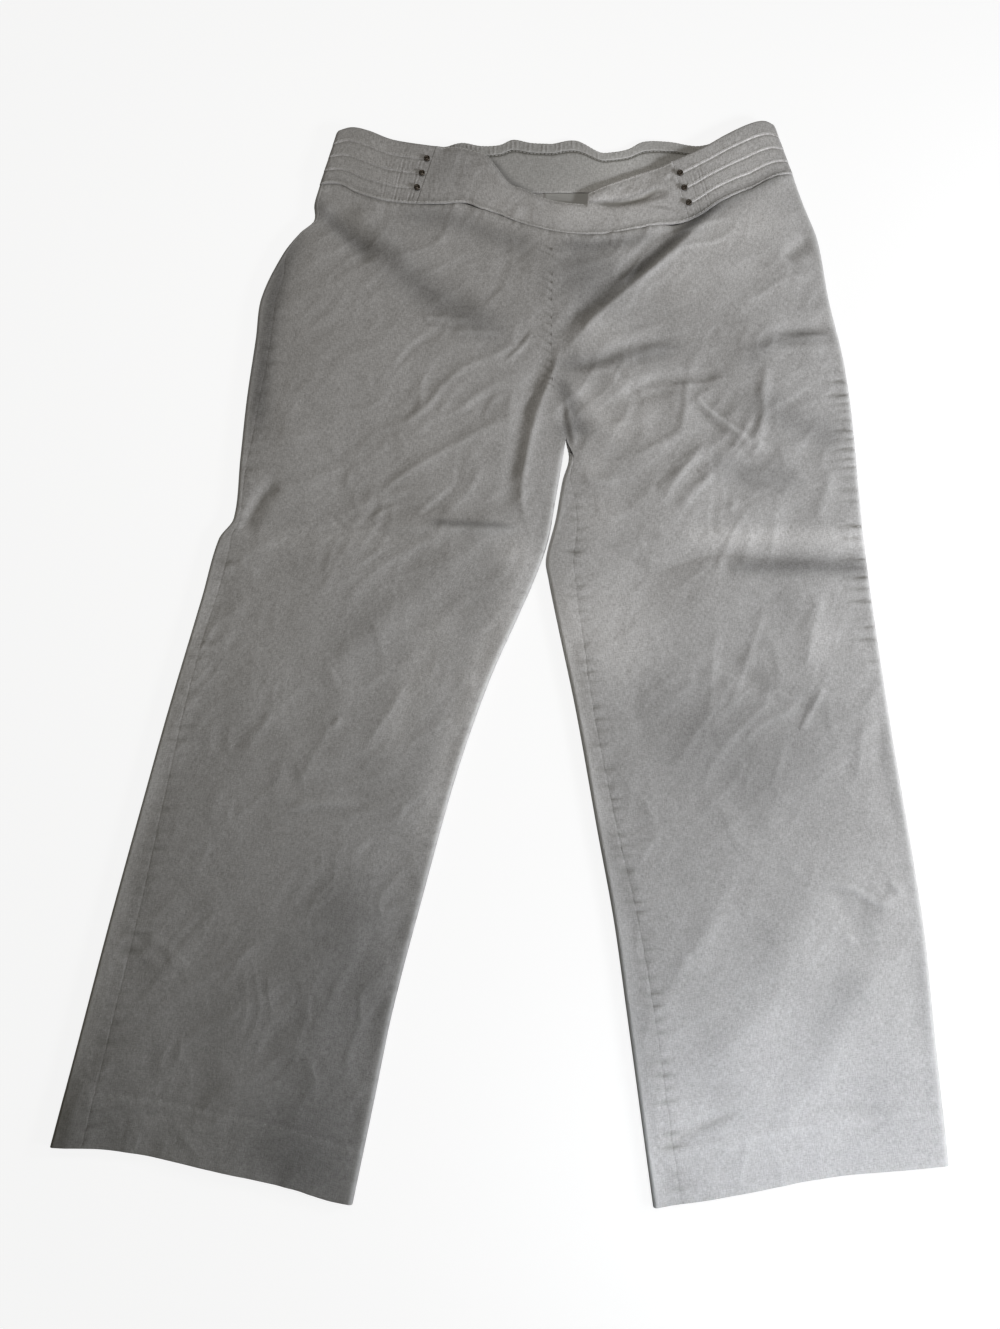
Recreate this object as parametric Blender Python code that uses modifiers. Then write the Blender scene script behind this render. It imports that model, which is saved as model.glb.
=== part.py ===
"""Cropped pull-on trousers, lying flat with the front up.

Sides are the wearer's: the right leg lies at -X. +Y points to the waist, +Z up.
Every cloth piece is a closed wall. Its rows run from the waist to the hem and its
columns run round the flattened tube, over soft folds at the side edges.
Lengths are in millimetres until a mesh is made.
"""
import math

import bmesh
import bpy
import numpy as np

MM = 0.001
GARMENT = "cropped_trousers"

# Cloth and layers
CLOTH = 1.2              # one layer of twill
HEM_CLOTH = 2.0          # turned-up hem
BAND_CLOTH = 2.0         # waistband, doubled
SEAM_GAP = 0.3           # between two pieces at a seam
WAIST_GAP = 0.4          # between a panel and the waistband
EDGE_RADIUS = 3.0        # outer radius of the fold along a leg
BAND_RADIUS = 3.8        # the same along the side of the waistband
QUARTER = EDGE_RADIUS * math.pi / 2.0
BAND_QUARTER = BAND_RADIUS * math.pi / 2.0
FADE_WIDTH = 14.0        # relief fades out over this distance from a fold
TINY = 1e-9              # keeps a row that lies on a limit on its own side

# Shares of the way down from the waist seam (0) to the hem (1)
CROTCH = 0.233
ROUNDING = 0.024         # below the crotch, where the inner edge rounds over
HEM_TOP = 0.952

# Rows of the panels: (down to, number of rows)
ROW_BANDS = (
    (0.024, 1), (0.058, 3), (CROTCH, 8), (0.257, 2), (0.380, 5), (0.430, 3), (HEM_TOP, 12), (1.0, 1),
)
# Distances along the cloth from a seam, for the close columns at an edge
EDGE_STEPS = np.array((0.0, 1.6, 3.2, 4.8, 9.0, 16.0))
SHARED_EDGE_COLUMNS = 2  # edge columns that the waistband repeats
SIDE_COLUMNS = 6         # from the edge columns to the line of rivets
CENTRE_COLUMNS = 10      # from the line of rivets to the centre front
RIVET_STATION = SHARED_EDGE_COLUMNS + SIDE_COLUMNS
BACK_COLUMNS = 7         # across the underside of a back panel
UNDER_COLUMNS = 4        # from a seam down to the underside
ARC_COLUMNS = 6          # round a leg's fold
BAND_ARC_COLUMNS = 7     # round the side fold of the waistband
# Share across a panel's level part at which the line of rivets meets it
RIVETS_ACROSS_RIGHT = 0.387
RIVETS_ACROSS_LEFT = 0.465

# Centre front seam: down, x, y
CENTRE_SEAM = (
    (0.000, 44, 324),
    (0.070, 43, 270),
    (0.142, 42, 214),
    (0.174, 43, 190),
    (0.208, 48, 164),
    (CROTCH, 53, 143),
)

# Outer silhouette of each leg: down, x, y
OUTER_RIGHT = (
    (0.000, -152, 367),
    (0.023, -156, 350),
    (0.036, -155, 339),
    (0.044, -157, 333),
    (0.058, -167, 324),
    (0.090, -181, 304),
    (0.147, -197, 265),
    (0.193, -200, 229),
    (0.259, -205, 177),
    (0.324, -208, 126),
    (0.388, -211, 76),
    (0.414, -222, 59),
    (0.478, -233, 11),
    (0.591, -254, -77),
    (0.681, -269, -145),
    (0.796, -288, -233),
    (0.905, -305, -317),
    (1.000, -320, -390),
)
OUTER_LEFT = (
    (0.000, 247, 377),
    (0.038, 255, 349),
    (0.083, 265, 316),
    (0.149, 271, 264),
    (0.219, 280, 210),
    (0.284, 284, 159),
    (0.413, 287, 58),
    (0.586, 297, -77),
    (0.785, 312, -233),
    (0.892, 315, -317),
    (1.000, 318, -402),
)

# Inner silhouette of each leg, from the crotch to the hem: down, x, y
INNER_RIGHT = (
    (CROTCH, 53, 143),
    (0.256, 50, 125),
    (0.301, 44, 91),
    (0.344, 38, 58),
    (0.388, 27, 26),
    (0.433, 13, -6),
    (0.501, -8, -54),
    (0.595, -32, -123),
    (0.713, -56, -211),
    (0.828, -78, -297),
    (0.908, -90, -358),
    (1.000, -104, -428),
)
INNER_LEFT = (
    (CROTCH, 53, 143),
    (0.257, 55, 125),
    (0.281, 50, 108),
    (0.324, 44, 75),
    (0.369, 36, 42),
    (0.390, 38, 26),
    (0.434, 44, -6),
    (0.529, 58, -77),
    (0.650, 73, -168),
    (0.737, 84, -233),
    (0.823, 92, -297),
    (1.000, 108, -430),
)

# Seams of the waistband and the hems between the corners above: x, y from the outer side in
WAIST_FRONT_RIGHT = (
    (-136, 367), (-120, 359), (-98, 352), (-71, 349), (-48, 349), (-29, 350),
    (-17, 345), (-2, 340), (14, 333), (32, 327),
)
WAIST_FRONT_LEFT = (
    (235, 375), (224, 370), (212, 363), (201, 359), (183, 350), (165, 337),
    (149, 331), (133, 330), (118, 327), (98, 323), (79, 321), (56, 322),
)
WAIST_BACK_RIGHT = ((-100, 364), (-30, 363))
WAIST_BACK_LEFT = ((190, 370), (120, 364))
CENTRE_BACK = (44, 363)
HEM_RIGHT = ((-284, -391), (-248, -396), (-205, -405), (-170, -412), (-144, -418), (-121, -425))
HEM_LEFT = ((283, -405), (248, -408), (216, -412), (184, -418), (150, -424), (128, -427))

# Top edge of the waistband: share across from the side fold to the centre, x, y
BAND_TOP_RIGHT = (
    (0.000, -139, 417),
    (0.074, -126, 421),
    (0.162, -112, 418),
    (0.275, -90, 409),
    (0.418, -54, 403),
    (0.521, -38, 404),
    (0.600, -25, 401),
    (0.683, -12, 396),
    (0.750, -2, 383),
    (0.810, 8, 369),
    (0.880, 20, 364),
    (0.950, 35, 356),
    (1.000, 45, 353),
)
BAND_TOP_LEFT = (
    (0.000, 234, 422),
    (0.070, 224, 427),
    (0.140, 211, 424),
    (0.231, 190, 413),
    (0.324, 172, 402),
    (0.466, 145, 389),
    (0.583, 128, 382),
    (0.750, 98, 371),
    (0.860, 74, 360),
)
BAND_TOP_TURNED = ((0.860, 73, 350), (0.963, 54, 351), (1.000, 45, 353))
TURNED_SHARE = 0.862     # from here to the centre the band's top is turned in
TURNED_STEP = 0.002
BACK_TOP_RIGHT = (
    (0.00, -139, 417),
    (0.10, -122, 419),
    (0.20, -104, 414),
    (0.35, -76, 404),
    (0.50, -50, 405),
    (0.60, -33, 410),
    (0.70, -16, 407),
    (0.78, 0, 408),
    (0.83, 11, 413),
    (0.90, 26, 410),
    (1.00, 44, 409),
)
BACK_TOP_LEFT = (
    (0.00, 234, 422),
    (0.10, 219, 425),
    (0.20, 200, 418),
    (0.37, 170, 407),
    (0.50, 143, 411),
    (0.60, 122, 411),
    (0.67, 109, 404),
    (0.75, 95, 401),
    (0.80, 85, 401),
    (0.89, 65, 412),
    (1.00, 44, 409),
)

# How far a seam lies from the outermost line of its fold, along the cloth: down, distance
OUTSEAM_RIGHT = (
    (0.000, 6.0),
    (0.090, 6.0),
    (0.125, 14.0),
    (0.212, 14.0),
    (0.288, 11.0),
    (0.352, 6.5),
    (0.388, 7.5),
    (0.430, 13.5),
    (0.520, 12.5),
    (0.650, 16.5),
    (0.770, 21.5),
    (0.910, 23.5),
    (1.000, 25.0),
)
INSEAM_LEFT = (
    (0.000, 6.0),
    (0.270, 6.0),
    (0.310, 16.0),
    (0.360, 23.0),
    (0.430, 20.0),
    (0.529, 15.0),
    (0.650, 16.5),
    (0.780, 20.5),
    (1.000, 21.5),
)

# Largest folds of the front: start, middle, end, half width, height (a trough is negative)
FRONT_FOLDS = (
    ((177, 336), (113, 273), (42, 214), 7.0, -3.0),
    ((186, 326), (121, 264), (52, 205), 12.0, 3.4),
    ((-146, 346), (-122, 318), (-104, 300), 7.0, -2.8),
    ((-128, 345), (-100, 316), (-72, 286), 9.0, 2.6),
    ((-102, 318), (-76, 300), (-40, 272), 9.0, -2.6),
    ((37, 200), (25, 158), (9, 101), 7.0, -2.9),
    ((-110, 76), (-40, 71), (24, 69), 8.0, 1.8),
    ((-176, 110), (-190, 89), (-204, 62), 6.0, -2.6),
    ((52, 200), (88, 208), (124, 222), 9.0, -2.0),
    ((88, 170), (128, 186), (182, 200), 8.0, -2.4),
    ((178, 144), (154, 122), (112, 90), 6.0, 2.4),
    ((172, 116), (158, 102), (140, 84), 7.0, 1.8),
    ((118, 38), (160, 50), (202, 41), 7.0, -2.0),
    ((196, 42), (240, 41), (290, 40), 8.0, -2.0),
    ((262, 318), (248, 310), (234, 298), 7.0, -2.2),
    ((280, 237), (250, 236), (220, 226), 8.0, -2.2),
    ((155, -23), (205, -60), (258, -86), 9.0, -1.6),
    ((243, -195), (262, -232), (284, -208), 6.0, -1.6),
    ((-150, -66), (-60, 20), (20, 96), 12.0, 1.3),
    ((-264, -248), (-250, -262), (-232, -272), 6.0, 1.4),
)
# Folds of the plain front band, in the same columns
BAND_FOLDS = (
    ((76, 350), (110, 352), (146, 362), 4.0, -2.0),
    ((92, 362), (118, 370), (140, 378), 8.0, -1.2),
    ((10, 334), (14, 342), (16, 350), 4.0, 0.8),
)

FOLD_PIECES = 12         # straight pieces of a fold's line
FOLD_END = 0.25          # share of a fold's length over which each end fades

TUCKS = 4                # strips of the side band, each lapped over the next one below
TUCK_DROP = 0.005        # share of the band over which one strip drops to the next
TUCK_EDGES = np.arange(1, TUCKS) / TUCKS
TUCK_ROWS = np.sort(np.concatenate(((0.0, 1.0), TUCK_EDGES - TUCK_DROP, TUCK_EDGES + TUCK_DROP)))
TUCK_HEIGHT = 0.9        # each strip's lower edge stands this far over the next one
TUCK_FADE = 10.0         # towards the rivets
TUCK_LEAST = 0.35        # share of the height that is left at the rivets
BAND_ROWS = np.linspace(0.0, 1.0, 7)
BACK_BAND_ROWS = np.linspace(0.0, 1.0, 4)
UNDER_REACH = 30.0       # of a side band, below the side fold
BACK_BAND_COLUMNS = 13   # from one end of the back band to its centre

CASING_ROWS = np.linspace(0.80, 0.98, 3)
CASING_CLOTH = 0.9

LABEL_CENTRE = (58.0, 353.5)
LABEL_SIZE = (40.0, 18.0, 0.6)

RIVET_RADIUS = 2.7
RIVET_RIM = 0.5
RIVET_HEIGHT = 1.5
RIVET_INSET = 3.4        # from the end of the side band
RIVET_STEPS = 16
DOME_STEPS = 3
RIVET_LIFT = 0.75        # share of a tuck's height that a rivet rests on
MERGE = 0.00005          # metres

SHARP_ANGLE = math.radians(40.0)

WAIST = np.zeros((1, 1))  # share down at the waist seam, as a row

# Materials: name, colour, roughness, metallic
TWILL = ("stone_twill", (0.50, 0.495, 0.48), 0.9, 0.0)
FACING = ("facing_twill", (0.46, 0.455, 0.45), 0.9, 0.0)
LABEL = ("label_tape", (0.30, 0.295, 0.29), 0.8, 0.0)
METAL = ("dark_metal", (0.07, 0.062, 0.055), 0.4, 1.0)


def smooth(value):
    """Ease from 0 to 1 with level ends."""
    value = np.clip(value, 0.0, 1.0)
    return value * value * (3.0 - 2.0 * value)


def spline(table, at):
    """Smooth curve through a table whose first column is the key.

    Each piece is a cubic whose end slopes come from the rows on both sides.
    """
    table = np.asarray(table, dtype=float)
    keys = table[:, 0]
    values = table[:, 1:]
    after = np.minimum(np.arange(len(keys)) + 1, len(keys) - 1)
    before = np.maximum(np.arange(len(keys)) - 1, 0)
    slopes = (values[after] - values[before]) / (keys[after] - keys[before])[:, None]
    at = np.clip(np.asarray(at, dtype=float), keys[0], keys[-1])
    left = np.clip(np.searchsorted(keys, at, side="right") - 1, 0, len(keys) - 2)
    span = (keys[left + 1] - keys[left])[..., None]
    t = (at - keys[left])[..., None] / span
    rise = t * t * (3.0 - 2.0 * t)
    return (
        values[left] * (1.0 - rise)
        + values[left + 1] * rise
        + slopes[left] * span * t * (1.0 - t) ** 2
        - slopes[left + 1] * span * t * t * (1.0 - t)
    )


def spline_through(points, at):
    """Smooth curve through points, keyed by the share of the length between them."""
    points = np.asarray(points, dtype=float)
    steps = np.linalg.norm(np.diff(points, axis=0), axis=1)
    share = np.concatenate(([0.0], np.cumsum(steps))) / steps.sum()
    return spline(np.column_stack((share, points)), at)


def fold_relief(x, y, folds):
    """Sum of soft ridges and troughs, each along a bent line that fades at its ends."""
    total = np.zeros_like(x)
    shares = np.linspace(0.0, 1.0, FOLD_PIECES + 1)
    for start, middle, end, half_width, height in folds:
        line = spline_through((start, middle, end), shares)
        nearest = np.full(x.shape, np.inf)
        strength = np.zeros_like(x)
        for index in range(FOLD_PIECES):
            origin = line[index]
            along = line[index + 1] - origin
            t = ((x - origin[0]) * along[0] + (y - origin[1]) * along[1]) / (along @ along)
            t = np.clip(t, 0.0, 1.0)
            distance = np.hypot(x - origin[0] - t * along[0], y - origin[1] - t * along[1])
            share = (index + t) / FOLD_PIECES
            closer = distance < nearest
            nearest = np.where(closer, distance, nearest)
            faded = smooth(np.minimum(share, 1.0 - share) / FOLD_END)
            strength = np.where(closer, faded, strength)
        total += height * strength * np.exp(-((nearest / half_width) ** 2))
    return total


def round_edge(run, radius, cloth, rounding=1.0):
    """Walk round a soft fold of the flattened tube.

    run is 0 on the outermost line, positive over the top and negative underneath.
    rounding is 1 on a fold and 0 where both layers run level to the edge.
    Returns inset and height of the outer face, then of the inner face.
    """
    quarter = radius * math.pi / 2.0
    angle = np.clip(run, -quarter, quarter) / radius
    beyond = np.abs(run) - radius * np.abs(angle)
    beyond = beyond - radius * (1.0 - rounding) * np.abs(np.sin(angle))
    inner_radius = radius - cloth
    return (
        radius - radius * np.cos(angle) + beyond,
        radius + radius * np.sin(angle),
        radius - inner_radius * np.cos(angle) + beyond,
        radius + inner_radius * np.sin(angle),
    )


def panel_rows():
    """Shares down from the waist seam at which the panels have a row."""
    rows = [0.0]
    for down_to, count in ROW_BANDS:
        rows.extend(np.linspace(rows[-1], down_to, count + 1)[1:])
    return np.array(rows)[:, None]


def join_columns(width, outer, inner, shares, levels):
    """Shares across and heights of a panel's columns, for its outer and its inner face.

    outer and inner are what round_edge gives for the panel's two edges. Between them
    the columns lie at these shares of what is left, at each face's level.
    """
    faces = []
    for face, level in enumerate(levels):
        outer_inset, outer_height = outer[2 * face : 2 * face + 2]
        inner_inset, inner_height = inner[2 * face : 2 * face + 2]
        first = outer_inset[:, -1:] / width
        last = 1.0 - inner_inset[:, -1:] / width
        middle = first + (last - first) * shares
        across = np.hstack((outer_inset / width, middle, 1.0 - inner_inset[:, ::-1] / width))
        flat = np.broadcast_to(level, middle.shape)
        heights = np.hstack((outer_height, flat, inner_height[:, ::-1]))
        faces.append((across, heights))
    return faces


def seam_distance(table, down):
    """Distance from a fold to its seam. Without a table the seam lies on the fold."""
    if table is None:
        return np.zeros_like(down)
    return spline(table, down)[..., 0]


class Leg:
    """Outline of one leg in plan, and where its seams lie.

    outseam and inseam are tables of a seam that lies off its fold, or None.
    turned_top is the band's top edge where it is turned in, or None.
    """

    def __init__(
        self, side, outer, inner, hem, waist_front, waist_back, band_top, turned_top, back_top,
        outseam, inseam, rivets_across,
    ):
        self.side = side
        self.sign = -1.0 if side == "right" else 1.0
        self.outer_table = outer
        self.inner_table = inner
        self.band_top = band_top
        self.turned_top = turned_top
        self.back_top = back_top
        self.outseam = outseam
        self.inseam = inseam
        self.rivets_across = rivets_across
        corner = outer[0][1:]
        self.waist_front = (corner, *waist_front, CENTRE_SEAM[0][1:])
        self.waist_back = (corner, *waist_back, CENTRE_BACK)
        self.hem = (outer[-1][1:], *hem, inner[-1][1:])
        self.waist_width = self.width(WAIST)[0, 0]
        self.end_margin = SEAM_GAP / 2.0 / self.waist_width

    def outer(self, down):
        return spline(self.outer_table, down)

    def inner(self, down, start):
        """Centre seam down to the crotch, then the inner edge of the leg."""
        centre_table = ((0.0, *start), *CENTRE_SEAM[1:])
        below = np.maximum(down, CROTCH)
        centre = spline(centre_table, down)
        centre = centre + np.array((self.sign * SEAM_GAP / 2.0, 0.0))
        leg = spline(self.inner_table, below)
        return np.where((down < CROTCH + TINY)[..., None], centre, leg)

    def width(self, down):
        span = self.inner(down, CENTRE_SEAM[0][1:]) - self.outer(down)
        return np.linalg.norm(span, axis=-1)

    def plan(self, across, down, waist):
        """Point of the leg in plan: a patch blended from its four boundary curves."""
        across, down = np.broadcast_arrays(across, down)
        a = across[..., None]
        d = down[..., None]
        start = waist[-1]
        top = spline_through(waist, across)
        bottom = spline_through(self.hem, across)
        top_chord = (1.0 - a) * np.array(waist[0]) + a * np.array(start)
        bottom_chord = (1.0 - a) * np.array(self.hem[0]) + a * np.array(self.hem[-1])
        sides = (1.0 - a) * self.outer(down) + a * self.inner(down, start)
        return sides + (1.0 - d) * (top - top_chord) + d * (bottom - bottom_chord)

    def front_columns(self, down, cloth):
        """Columns of the front panel, from its outer seam over the leg to its inner seam."""
        rounding = smooth((down - CROTCH) / ROUNDING)
        seam = seam_distance(self.inseam, down) + SEAM_GAP / 2.0
        start = rounding * seam + (1.0 - rounding) * QUARTER
        outer_run = seam_distance(self.outseam, down) + SEAM_GAP / 2.0 + EDGE_STEPS
        outer = round_edge(outer_run, EDGE_RADIUS, cloth)
        inner = round_edge(start + EDGE_STEPS, EDGE_RADIUS, cloth, rounding)
        shares = np.concatenate((
            np.linspace(0.0, self.rivets_across, SIDE_COLUMNS + 1)[1:],
            np.linspace(self.rivets_across, 1.0, CENTRE_COLUMNS + 1)[1:-1],
        ))
        top = 2.0 * EDGE_RADIUS
        return join_columns(self.width(down), outer, inner, shares, (top, top - cloth))

    def back_columns(self, down, cloth):
        """Columns of the back panel, from its outer seam under the leg to its inner seam."""
        rounding = smooth((down - CROTCH) / ROUNDING)
        outer = round_edge(under_runs(self.outseam, down), EDGE_RADIUS, cloth)
        bent = under_runs(self.inseam, down)
        level = -QUARTER - np.linspace(0.0, EDGE_STEPS[-1], bent.shape[1])
        inner_run = rounding * bent + (1.0 - rounding) * level
        inner = round_edge(inner_run, EDGE_RADIUS, cloth, rounding)
        shares = np.linspace(0.0, 1.0, BACK_COLUMNS + 2)[1:-1]
        return join_columns(self.width(down), outer, inner, shares, (0.0, cloth))

    def relief(self, points, across, down):
        """Folds of the front at these points, fading towards the folded edges."""
        width = self.width(down)
        rounding = smooth((down - CROTCH) / ROUNDING)
        from_outer = across * width
        from_inner = (1.0 - across) * width + (1.0 - rounding) * 2.0 * FADE_WIDTH
        fade = smooth(np.minimum(from_outer, from_inner) / FADE_WIDTH)
        return fade * fold_relief(points[..., 0], points[..., 1], FRONT_FOLDS)

    def front_panel(self):
        down = panel_rows()
        cloth = cloth_at(down)
        faces = []
        relief = None
        for across, heights in self.front_columns(down, cloth):
            points = self.plan(across, down, self.waist_front)
            if relief is None:
                relief = self.relief(points, across, down)
            faces.append(np.dstack((points, heights + relief)))
        return faces

    def back_panel(self):
        down = panel_rows()
        cloth = cloth_at(down)
        faces = []
        lift = None
        for across, heights in self.back_columns(down, cloth):
            if lift is None:
                lift = heights / (2.0 * EDGE_RADIUS)
            under = self.plan(across, down, self.waist_back)
            over = self.plan(across, down, self.waist_front)
            points = under * (1.0 - lift[..., None]) + over * lift[..., None]
            relief = self.relief(over, across, down) * lift
            faces.append(np.dstack((points, heights + relief)))
        return faces


def under_runs(seam, down):
    """Distances round an edge from a back panel's seam to the underside."""
    start = seam_distance(seam, down) - SEAM_GAP / 2.0
    if seam is None:
        return start + (-QUARTER - start) * np.linspace(0.0, 1.0, UNDER_COLUMNS)
    over = start + (QUARTER - start) * np.array((0.0, 0.5))
    arc = np.linspace(QUARTER, -QUARTER, ARC_COLUMNS) + np.zeros_like(start)
    return np.hstack((over, arc))


def cloth_at(down):
    """Thickness of the leg's cloth, doubled over the turned-up hem."""
    return np.where(down > HEM_TOP - TINY, HEM_CLOTH, CLOTH)


def band_point(leg, across, share, over):
    """Point of the waistband in plan. share 0 is its lower seam, 1 its top edge.

    over is 1 on the front layer and 0 on the back layer.
    """
    across, share, over = np.broadcast_arrays(across, share, over)
    front_top = spline(leg.band_top, across)
    if leg.turned_top is not None:
        turned = (across > TURNED_SHARE)[..., None]
        front_top = np.where(turned, spline(leg.turned_top, across), front_top)
    over = over[..., None]
    top = over * front_top + (1.0 - over) * spline(leg.back_top, across)
    front_seam = spline_through(leg.waist_front, across)
    seam = over * front_seam + (1.0 - over) * spline_through(leg.waist_back, across)
    seam = seam + np.array((0.0, WAIST_GAP))
    share = share[..., None]
    return (1.0 - share) * seam + share * top


def front_stations(leg):
    """Shares across at which the front panel's upper row has its columns."""
    across, _ = leg.front_columns(WAIST, cloth_at(WAIST))[0]
    edge = len(EDGE_STEPS) - 1
    return across[0, edge - SHARED_EDGE_COLUMNS : -edge]


def tuck_raise(share):
    """Height of the shingled tucks: each strip stands proud at its lower edge."""
    strip = np.asarray(share) * TUCKS
    return TUCK_HEIGHT * (1.0 - (strip - np.minimum(np.floor(strip), TUCKS - 1)))


def side_band(leg):
    """Tucked side of the waistband, from the rivets round the side fold to the back."""
    width = leg.waist_width
    under = -np.linspace(UNDER_REACH, BAND_QUARTER, UNDER_COLUMNS)
    arc = np.linspace(-BAND_QUARTER, BAND_QUARTER, BAND_ARC_COLUMNS)[1:]
    run = np.concatenate((under, arc))
    inset, height, inset_in, height_in = round_edge(run, BAND_RADIUS, BAND_CLOTH)
    stations = front_stations(leg)[: RIVET_STATION + 1]
    end = stations[-1] - leg.end_margin
    stations = np.append(stations[:-1], end)
    top = 2.0 * BAND_RADIUS
    across = np.concatenate((inset / width, stations))
    across_in = np.concatenate((inset_in / width, stations))
    height = np.concatenate((height, np.full(len(stations), top)))
    height_in = np.concatenate((height_in, np.full(len(stations), top - BAND_CLOTH)))
    share = TUCK_ROWS[:, None]
    over = height / top
    fade = TUCK_LEAST + (1.0 - TUCK_LEAST) * smooth((end - across) * width / TUCK_FADE)
    outer = band_point(leg, across, share, over)
    inner = band_point(leg, across_in, share, over)
    raised = tuck_raise(share) * fade * over
    outer_z = height + raised
    inner_z = height_in + np.zeros_like(share)
    return [np.dstack((outer, outer_z)), np.dstack((inner, inner_z))]


def front_band(right, left):
    """Plain centre of the waistband, one wall from rivets to rivets."""
    right_stations = front_stations(right)[RIVET_STATION:]
    left_stations = front_stations(left)[RIVET_STATION:]
    fold_end = np.array((TURNED_SHARE - TURNED_STEP, TURNED_SHARE + TURNED_STEP))
    left_stations = np.sort(np.append(left_stations, fold_end))
    right_stations[0] += right.end_margin
    left_stations[0] += left.end_margin
    share = BAND_ROWS[:, None]
    points = np.hstack((
        band_point(right, right_stations, share, 1.0),
        band_point(right, np.array((1.0,)), share, 1.0),
        band_point(left, left_stations[::-1], share, 1.0),
    ))
    top = 2.0 * BAND_RADIUS
    relief = fold_relief(points[..., 0], points[..., 1], BAND_FOLDS)
    return [
        np.dstack((points, top + relief)),
        np.dstack((points, top - BAND_CLOTH + relief)),
    ]


def back_stations(leg):
    """Shares across of the back band, from the end of the side band to the centre."""
    start = (UNDER_REACH - BAND_QUARTER + BAND_RADIUS + SEAM_GAP) / leg.waist_width
    return np.linspace(start, 1.0, BACK_BAND_COLUMNS)


def back_strip(right, left, share, bottom, thickness):
    """A level strip of the back waistband between two heights."""
    share = share[:, None]
    points = np.hstack((
        band_point(right, back_stations(right), share, 0.0),
        band_point(left, back_stations(left)[::-1][1:], share, 0.0),
    ))
    level = np.full(points.shape[:2], bottom)
    return [np.dstack((points, level + thickness)), np.dstack((points, level))]


def make_material(settings):
    name, colour, roughness, metallic = settings
    material = bpy.data.materials.get(name)
    if material is None:
        material = bpy.data.materials.new(name)
        material.use_nodes = True
        shader = material.node_tree.nodes["Principled BSDF"]
        shader.inputs["Base Color"].default_value = (*colour, 1.0)
        shader.inputs["Roughness"].default_value = roughness
        shader.inputs["Metallic"].default_value = metallic
    return material


def add_object(name, mesh, material, collection):
    mesh.materials.append(make_material(material))
    part = bpy.data.objects.new(name, mesh)
    collection.objects.link(part)
    return part


def add_wall(name, faces, material, collection):
    """Close a wall from matching grids of its outer and inner points."""
    outer, inner = faces
    rows, columns = outer.shape[:2]
    points = np.concatenate((outer.reshape(-1, 3), inner.reshape(-1, 3))) * MM
    grid = np.arange(rows * columns).reshape(rows, columns)
    skin = np.stack((grid[:-1, :-1], grid[1:, :-1], grid[1:, 1:], grid[:-1, 1:]), axis=-1)
    lining = skin[..., ::-1] + rows * columns
    rim = np.concatenate((grid[0, :], grid[1:, -1], grid[-1, -2::-1], grid[-2:0:-1, 0]))
    ahead = np.roll(rim, -1)
    edge = np.stack((rim, ahead, ahead + rows * columns, rim + rows * columns), axis=-1)
    quads = np.concatenate((skin.reshape(-1, 4), lining.reshape(-1, 4), edge))
    mesh = bpy.data.meshes.new(name)
    mesh.from_pydata(points.tolist(), [], quads.tolist())
    shell = bmesh.new()
    shell.from_mesh(mesh)
    bmesh.ops.recalc_face_normals(shell, faces=shell.faces)
    shell.to_mesh(mesh)
    shell.free()
    mesh.shade_smooth()
    mesh.set_sharp_from_angle(angle=SHARP_ANGLE)
    add_object(name, mesh, material, collection)


def add_label(collection):
    """Bare tab on the inner face of the back, under the facing's lower edge."""
    tab = bmesh.new()
    bmesh.ops.create_cube(tab, size=1.0)
    bmesh.ops.scale(tab, vec=[side * MM for side in LABEL_SIZE], verts=tab.verts)
    mesh = bpy.data.meshes.new("label")
    tab.to_mesh(mesh)
    tab.free()
    label = add_object("label", mesh, LABEL, collection)
    height = CLOTH + SEAM_GAP + LABEL_SIZE[2] / 2.0
    label.location = (LABEL_CENTRE[0] * MM, LABEL_CENTRE[1] * MM, height * MM)


def rivet_mesh():
    """Turned dome with a straight rim."""
    dome = RIVET_HEIGHT - RIVET_RIM
    profile = [(0.0, RIVET_HEIGHT)]
    for step in range(1, DOME_STEPS + 1):
        angle = math.pi / 2.0 * (1.0 - step / DOME_STEPS)
        profile.append((RIVET_RADIUS * math.cos(angle), RIVET_RIM + dome * math.sin(angle)))
    profile += [(RIVET_RADIUS, 0.0), (0.0, 0.0)]
    mesh = bpy.data.meshes.new("rivet")
    points = [(radius * MM, 0.0, height * MM) for radius, height in profile]
    edges = [(index, index + 1) for index in range(len(points) - 1)]
    mesh.from_pydata(points, edges, [])
    mesh.materials.append(make_material(METAL))
    return mesh


def add_rivets(leg, mesh, collection):
    """Three rivets on the ends of the tucks, just clear of the band's top face."""
    across = front_stations(leg)[RIVET_STATION] - RIVET_INSET / leg.waist_width
    for number, share in enumerate(TUCK_EDGES[::-1], start=1):
        x, y = band_point(leg, across, share, 1.0)
        rivet = bpy.data.objects.new(f"rivet_{leg.side}_{number}", mesh)
        height = 2.0 * BAND_RADIUS + TUCK_HEIGHT * RIVET_LIFT + SEAM_GAP
        rivet.location = (x * MM, y * MM, height * MM)
        turn = rivet.modifiers.new("Turn", "SCREW")
        turn.steps = RIVET_STEPS
        turn.render_steps = RIVET_STEPS
        turn.use_merge_vertices = True
        turn.merge_threshold = MERGE
        collection.objects.link(rivet)


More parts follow.
